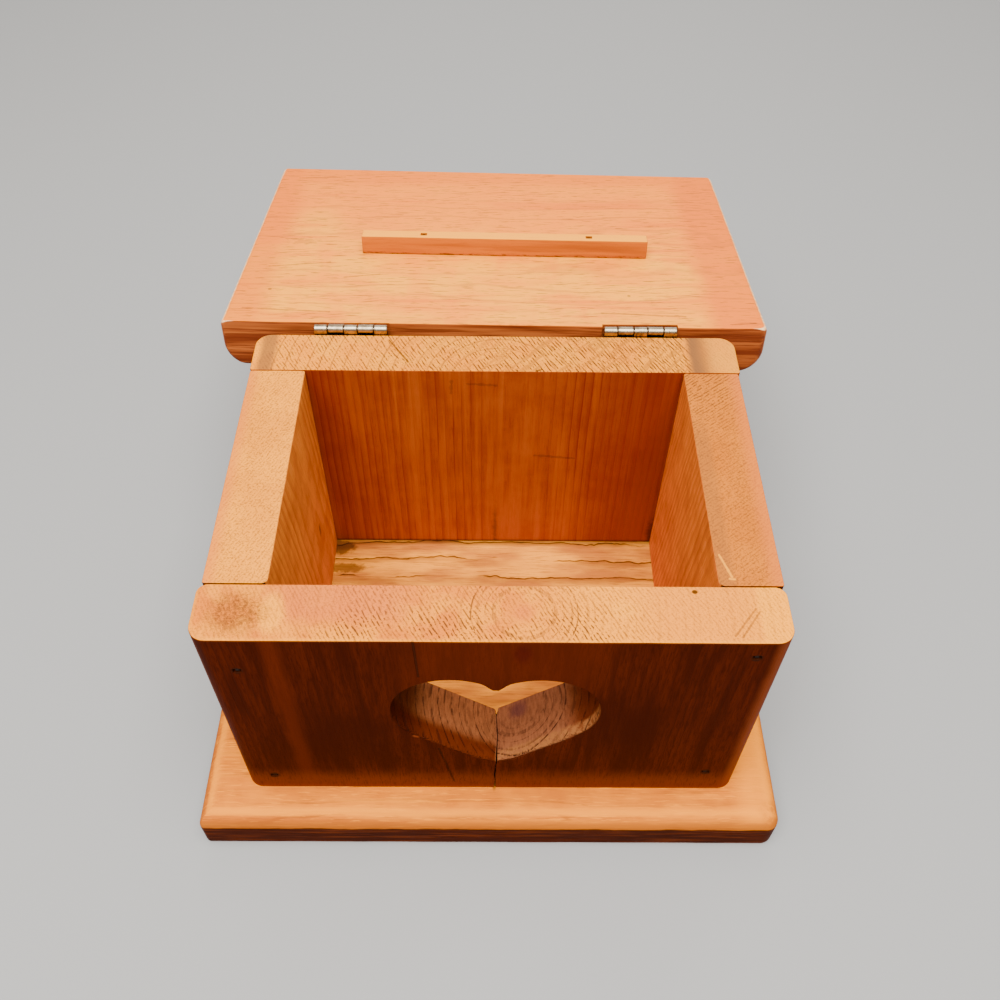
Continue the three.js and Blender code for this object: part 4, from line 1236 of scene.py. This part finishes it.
# Each colour's description, and its red, green and blue from 0 to 255
COLOURS = {
    "front": ("Dark varnish of the outside", 80, 23, 1),
    "front_dark": ("Darkest streaks of the outside", 54, 12, 0),
    "front_light": ("Thin varnish on the front", 96, 30, 3),
    "front_red": ("Reddish spot over the heart", 70, 12, 6),
    "front_foot": ("Orange foot of the front", 108, 43, 6),
    # worn varnish, also a painted highlight on the front's rounded upright edges
    "worn_orange": ("Varnish worn thin at edges", 126, 54, 20),
    "heart_left": ("Sawn wood in the heart, left", 142, 82, 46),
    "heart_right": ("Sawn wood in the heart, right", 132, 76, 46),
    "heart_dark": ("Rings in the heart", 44, 18, 12),
    "heart_pale": ("Crumbled pale edge of the heart", 140, 84, 44),
    "heart_purple": ("Pith seen inside the heart", 74, 36, 40),
    "front_top": ("Sawn top of the front", 215, 114, 24),
    # pale sawn wood, also a painted highlight on the top's arrises
    "front_top_pale": ("Palest sawn wood", 250, 155, 16),
    "front_top_pink": ("Pinkish sawn wood", 210, 108, 42),
    "top_marks": ("Pores, rings and saw strokes", 82, 48, 28),
    "pith": ("Reddish heart of the growth rings", 200, 84, 50),
    # dirt colour, also used as painted shade under the foot of the split
    "dirt": ("Cracks, checks and settled dirt", 44, 20, 10),
    "back_top": ("Sawn top of the back", 236, 136, 14),
    "back_top_pale": ("Pale end of the back", 246, 156, 20),
    "back_end": ("Greenish pale end of the back", 196, 132, 50),
    "grey_stain": ("Grey-brown bands in sawn wood", 124, 80, 46),
    "left_top": ("Sawn top of the left side", 238, 145, 22),
    "left_top_dark": ("Its darker parts", 218, 128, 24),
    "right_top": ("Sawn top of the right side", 195, 108, 22),
    "right_top_dark": ("Its darker parts", 183, 97, 20),
    "inner_back": ("Back wall's inner face", 156, 68, 22),
    "inner_back_dark": ("Its grain lines", 118, 32, 10),
    "inner_back_light": ("Its lightest stain", 178, 84, 20),
    "inner_left": ("Left wall's inner face", 229, 135, 45),
    "inner_right": ("Right wall's inner face", 236, 125, 38),
    "floor": ("Pale floor of the box", 244, 154, 34),
    "floor_dark": ("Its darker parts", 190, 108, 38),
    "base_top": ("The base's upper face", 212, 112, 16),
    "base_dark": ("Its darker figure", 184, 92, 24),
    "base_lines": ("Its grain lines", 122, 56, 24),
    # the brow colour also serves as a painted highlight along the rounded edge
    "base_brow": ("Worn brow of its rounded edge", 250, 146, 12),
    "base_orange": ("Its rounded edge", 176, 92, 22),
    # the upright edge's dark stain, with painted shade in it
    "base_side": ("Its upright edge", 74, 22, 0),
    # the dark streak colour also serves as painted shade in the crease above the upright edge
    "base_side_dark": ("Dark streaks of that edge", 48, 12, 0),
    "honey": ("The lid's underside", 255, 160, 10),
    "honey_deep": ("Far part of the lid's underside", 250, 128, 10),
    "honey_rim": ("Orange border of the lid's underside", 232, 108, 8),
    "lid_edge": ("Stained edge of the lid", 170, 86, 34),
    "lid_edge_dark": ("Its grain lines", 104, 40, 16),
    "batten_face": ("The batten's stained face", 186, 96, 6),
    "batten_dark": ("Its grain", 150, 72, 6),
    "worn_white": ("Palest rubbed arrises", 252, 206, 150),
    "nickel": ("The hinges", 168, 150, 124),
    "nickel_dull": ("Tarnish on the hinges", 98, 78, 54),
    "steel": ("The brad heads", 40, 28, 22),
}


class KeepsakeFinish(bpy.types.PropertyGroup):
    """The colours of the box's woods, stains and metals"""

    __annotations__ = {
        key: colour_property(key.replace("_", " ").title(), *row) for key, row in COLOURS.items()}


class KeepsakeStage(bpy.types.PropertyGroup):
    """The floor and the lights"""

    floor_colour: colour_property("Floor", "Colour of the floor", 152, 150, 147)
    floor_size: number_property("Floor Size", "Width of the floor", 6.0, min=1.0, unit="LENGTH")
    key_power: number_property("Key Power", "Power of the large overhead light in watts", 34.0, min=0.0)
    fill_power: number_property("Fill Power", "Power of the light from behind in watts", 4.0, min=0.0)
    sky: number_property("Sky", "Strength of the even light all round", 0.6, min=0.0)


# Operators: one for each piece or group of like pieces, and one for the stage


def mounted(piece, slot, body, *nodes):
    """Puts a finished piece in the place of its CAD nodes and on their body; slot is not used"""
    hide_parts(*nodes)
    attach(piece, body)


class PieceOperator(bpy.types.Operator):
    """What the operators share"""

    bl_options = {"REGISTER", "UNDO"}

    def wall(self, name, node, material, steps, seed, cutters=(), slot="wall_wood"):
        low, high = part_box(node)
        plan = rectangle(low, high)
        piece = board(name, plan, (low.z, high.z), material, ROUNDING[node], steps, seed)
        if cutters:
            cut(piece, cutters)
        mounted(true_edges(piece), slot, "box", node)


class KEEPSAKE_OT_base(PieceOperator):
    """Make the rounded base"""

    bl_idname = "keepsake.base"
    bl_label = "Base"

    def execute(self, context):
        finish = context.scene.keepsake_finish
        self.wall("base", "base_board", base_material(finish), (8, 60, 12), 1.0, slot="base_wood")
        return {"FINISHED"}


class KEEPSAKE_OT_front(PieceOperator):
    """Make the front board with its heart and its split"""

    bl_idname = "keepsake.front"
    bl_label = "Front"

    def execute(self, context):
        finish = context.scene.keepsake_finish
        low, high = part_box("front_board")
        cutters = [heart_cutter(low.y, high.y), split_cutter(low.y, high.y, low.z)]
        cutters += brad_pits("front", "front_board")
        self.wall("front", "front_board", front_material(finish), (10, 40, 4), 2.0, cutters, "front_finish")
        return {"FINISHED"}


class KEEPSAKE_OT_walls(PieceOperator):
    """Make the side and back boards"""

    bl_idname = "keepsake.walls"
    bl_label = "Sides and Back"

    def execute(self, context):
        finish = context.scene.keepsake_finish
        for seed, side in ((3.0, "left"), (4.0, "right")):
            material = side_material(finish, side == "left")
            self.wall(side + "_side", side + "_side_board", material, (6, 40, 4), seed)
        pits = brad_pits("back", "back_board")
        self.wall("back", "back_board", back_material(finish), (10, 40, 4), 5.0, pits)
        return {"FINISHED"}


def shut_lid_place():
    """From the lid board's own plan to its place about the pin, with the lid shut"""
    skew = Matrix.Rotation(math.radians(LID_SKEW), 4, "Z")
    return Matrix.Translation((0.0, -LID_SETBACK_MM * MM, LID_UNDER_MM * MM)) @ skew


def open_batten_place():
    """From the batten's own plan to its place with the lid laid open"""
    middle = Vector(((BATTEN_MM["left"] + BATTEN_MM["right"]) / 2, -BATTEN_MM["from_rear"], 0.0)) * MM
    turn = Matrix.Rotation(math.radians(BATTEN_TURN), 4, "Z")
    return OPEN_LID @ shut_lid_place() @ Matrix.Translation(middle) @ turn @ Matrix.Translation(-middle)


class KEEPSAKE_OT_lid(PieceOperator):
    """Make the lid board, laid open, and its batten"""

    bl_idname = "keepsake.lid"
    bl_label = "Lid"

    def execute(self, context):
        finish = context.scene.keepsake_finish
        plan = [(x * MM, y * MM) for x, y in LID_PLAN_MM]
        lid = board(
            "lid", plan, (0.0, LID_THICK_MM * MM), lid_material(finish), ROUNDING["lid_board"],
            (8, 60, 12), 6.0, (0.25, 0.15))
        lid.data.transform(shut_lid_place())
        mortises = []
        for i, centre in enumerate(HINGE_CENTRES_MM):
            low = Vector((centre - MORTISE_HALF_MM, *MORTISE_LOW_MM)) * MM
            high = Vector((centre + MORTISE_HALF_MM, *MORTISE_HIGH_MM)) * MM
            mortises.append(block_cutter(f"mortise_{i}", low, high))
        cut(lid, mortises)
        lid.data.transform(OPEN_LID)
        mounted(true_edges(lid), "lid_wood", "lid", "lid_board")

        left, right, rear, width, height = (size * MM for size in BATTEN_MM.values())
        front = -rear - width
        upper = -BATTEN_GAP_MM * MM
        under = upper - height
        batten = board(
            "batten", rectangle((left, front), (right, -rear)), (under, upper), batten_material(finish),
            ROUNDING["lid_batten"], (4, 40, 4), 7.0, (0.5, 0.12))
        across, tall, deep = (size * MM for size in BRAD_PIT_MM)
        y = -rear - width / 2
        cut(batten, [
            block_cutter(
                f"batten_pit_{i}", (x * MM - across / 2, y - tall / 2, under - MM),
                (x * MM + across / 2, y + tall / 2, under + deep))
            for i, x in enumerate(BATTEN_BRADS_MM)
        ])
        batten.data.transform(open_batten_place())
        mounted(true_edges(batten), "batten_wood", "lid", "lid_batten")
        return {"FINISHED"}


class KEEPSAKE_OT_brads(PieceOperator):
    """Make the brads of the walls and of the batten"""

    bl_idname = "keepsake.brads"
    bl_label = "Brads"

    def execute(self, context):
        finish = context.scene.keepsake_finish
        tree = brad_tree()
        width, height, thick = BRAD_HEAD_MM
        sizes = {
            "Material": metal_material("brad_steel", finish.steel, 0.45, finish.dirt),
            "Head Width": width * MM, "Head Height": height * MM, "Head Thickness": thick * MM,
            "Shank": BRAD_SHANK_MM * MM,
        }
        wall_brads = [*brads_of("back"), *brads_of("front")]
        in_walls = {"Length": BRAD_LENGTH_MM * MM, "Turn By Side": -QUARTER_TURN, "Seed": 3}
        brads = run_tree("box_brads", tree, {**sizes, **in_walls}, [place for _, *place, _ in wall_brads])
        mounted(brads, "brads", "box", *(name for name, *_ in wall_brads))

        y = -(BATTEN_MM["from_rear"] + BATTEN_MM["width"] / 2) * MM
        z = -(BATTEN_MM["height"] + BATTEN_GAP_MM - BRAD_SUNK_MM) * MM
        in_batten = {"Length": BATTEN_BRAD_LENGTH_MM * MM, "Facing": math.pi, "Seed": 5}
        points = [(x * MM, y, z) for x in BATTEN_BRADS_MM]
        brads = run_tree("batten_brads", tree, {**sizes, **in_batten}, points)
        brads.data.transform(open_batten_place())
        mounted(brads, "brads", "lid", "batten_brad_left", "batten_brad_right")
        return {"FINISHED"}


class KEEPSAKE_OT_hinges(PieceOperator):
    """Make the two hinges and their screws"""

    bl_idname = "keepsake.hinges"
    bl_label = "Hinges"

    def execute(self, context):
        finish = context.scene.keepsake_finish
        nickel = metal_material("hinge_nickel", finish.nickel, 0.22, finish.nickel_dull)
        leaves, screws = leaf_tree(), screw_tree()
        on_pin = [(centre * MM, 0.0, 0.0) for centre in HINGE_CENTRES_MM]
        first_on_box = (BOX_KNUCKLE_MM - HINGE_LENGTH_MM) / 2
        kinds = (
            ("box", -1, 3, first_on_box, BOX_KNUCKLE_MM, BOX_LEAF_BACK_MM, Matrix.Translation(PIN)),
            ("lid", 1, 2, -KNUCKLE_PITCH_MM / 2, LID_KNUCKLE_MM, LID_LEAF_BACK_MM, OPEN_LID),
        )
        for body, up, count, first, length, back, place in kinds:
            sizes = {**LEAF_MM, "First Knuckle": first, "Knuckle Length": length, "Leaf Back": back}
            leaf_values = {name: size * MM for name, size in sizes.items()}
            leaf_values.update({"Material": nickel, "Up": float(up), "Knuckle Count": count})
            screw_values = {name: size * MM for name, size in SCREW_MM.items()}
            screw_values.update({"Material": nickel, "Seed": 7 + up})
            heads = [
                ((centre + side * SCREW_ACROSS_MM) * MM, (back + LEAF_THICK_MM) * MM, up * SCREW_UP_MM * MM)
                for centre in HINGE_CENTRES_MM for side in (-1, 1)
            ]
            hinges = [f"{side}_hinge_{body}" for side in ("left", "right")]
            leaf_nodes = [hinge + "_leaf" for hinge in hinges]
            screw_nodes = [f"{hinge}_screw_{i}" for hinge in hinges for i in (1, 2)]
            for name, tree, values, points, nodes in (
                ("leaves", leaves, leaf_values, on_pin, leaf_nodes),
                ("screws", screws, screw_values, heads, screw_nodes),
            ):
                piece = run_tree(f"{body}_hinge_{name}", tree, values, points)
                piece.data.transform(place)
                mounted(true_edges(piece), "hinges", body, *nodes)
        for name in ("left_hinge_pin", "right_hinge_pin"):
            materials = frame["nodes"][name].data.materials
            materials.clear()
            materials.append(nickel)
        return {"FINISHED"}


class KEEPSAKE_OT_stage(PieceOperator):
    """Make the floor, the lights and the camera"""

    bl_idname = "keepsake.stage"
    bl_label = "Stage"

    def execute(self, context):
        settings = context.scene.keepsake_stage
        half = settings.floor_size / 2
        mesh = bpy.data.meshes.new("floor")
        corners = [(x, y, 0.0) for x, y in rectangle((-half, -half), (half, half))]
        mesh.from_pydata(corners, [], [(0, 1, 2, 3)])
        floor = linked(mesh, "floor")
        paint = Paint("floor_finish")
        mesh.materials.append(paint.surface(**{"Base Color": full(settings.floor_colour), "Roughness": 0.7}))

        world = bpy.data.worlds.new("studio")
        world.use_nodes = True
        background = world.node_tree.nodes["Background"]
        background.inputs["Color"].default_value = (1.0, 0.98, 0.95, 1.0)
        background.inputs["Strength"].default_value = settings.sky
        context.scene.world = world
        self.lamp("key_light", settings.key_power, 0.9, (-0.05, -0.3, 1.05), (0.0, 0.0, 0.05))
        self.lamp("fill_light", settings.fill_power, 0.8, (0.1, 0.9, 0.7), (0.0, 0.0, 0.06))
        self.camera(context)
        return {"FINISHED"}

    def lamp(self, name, power, size, place, target):
        light = bpy.data.lights.new(name, "AREA")
        light.energy = power
        light.size = size
        lamp = linked(light, name)
        lamp.location = place
        lamp.rotation_euler = (Vector(target) - Vector(place)).to_track_quat("-Z", "Y").to_euler()

    def camera(self, context):
        camera = bpy.data.cameras.new("camera")
        camera.sensor_width = SENSOR_MM
        camera.lens = SENSOR_MM * FOCAL_PIXELS / IMAGE_WIDTH
        camera.clip_start = 0.01
        holder = linked(camera, "camera")
        right = Vector(CAMERA_RIGHT).normalized()
        back = right.cross(-Vector(CAMERA_DOWN)).normalized()
        turn = Matrix((right, back.cross(right), back)).transposed()
        holder.matrix_world = Matrix.Translation(CAMERA_PLACE) @ turn.to_4x4()
        context.scene.camera = holder


OPERATORS = (
    KEEPSAKE_OT_stage,
    KEEPSAKE_OT_base,
    KEEPSAKE_OT_front,
    KEEPSAKE_OT_walls,
    KEEPSAKE_OT_lid,
    KEEPSAKE_OT_brads,
    KEEPSAKE_OT_hinges,
)


class KEEPSAKE_PT_box(bpy.types.Panel):
    """The pieces of the box, and its finish"""

    bl_label = "Keepsake Box"
    bl_space_type = "VIEW_3D"
    bl_region_type = "UI"
    bl_category = "Keepsake Box"

    def draw(self, context):
        for operator in OPERATORS:
            self.layout.operator(operator.bl_idname)
        for group in (context.scene.keepsake_finish, context.scene.keepsake_stage):
            for name in group.__annotations__:
                self.layout.prop(group, name)


CLASSES = (KeepsakeFinish, KeepsakeStage, *OPERATORS, KEEPSAKE_PT_box)


def register():
    for item in CLASSES:
        bpy.utils.register_class(item)
    bpy.types.Scene.keepsake_finish = bpy.props.PointerProperty(type=KeepsakeFinish)
    bpy.types.Scene.keepsake_stage = bpy.props.PointerProperty(type=KeepsakeStage)


def unregister():
    del bpy.types.Scene.keepsake_stage
    del bpy.types.Scene.keepsake_finish
    for item in reversed(CLASSES):
        bpy.utils.unregister_class(item)


def main():
    register()
    for operator in OPERATORS:
        group, name = operator.bl_idname.split(".")
        getattr(getattr(bpy.ops, group), name)()


if __name__ == "__main__":
    main()
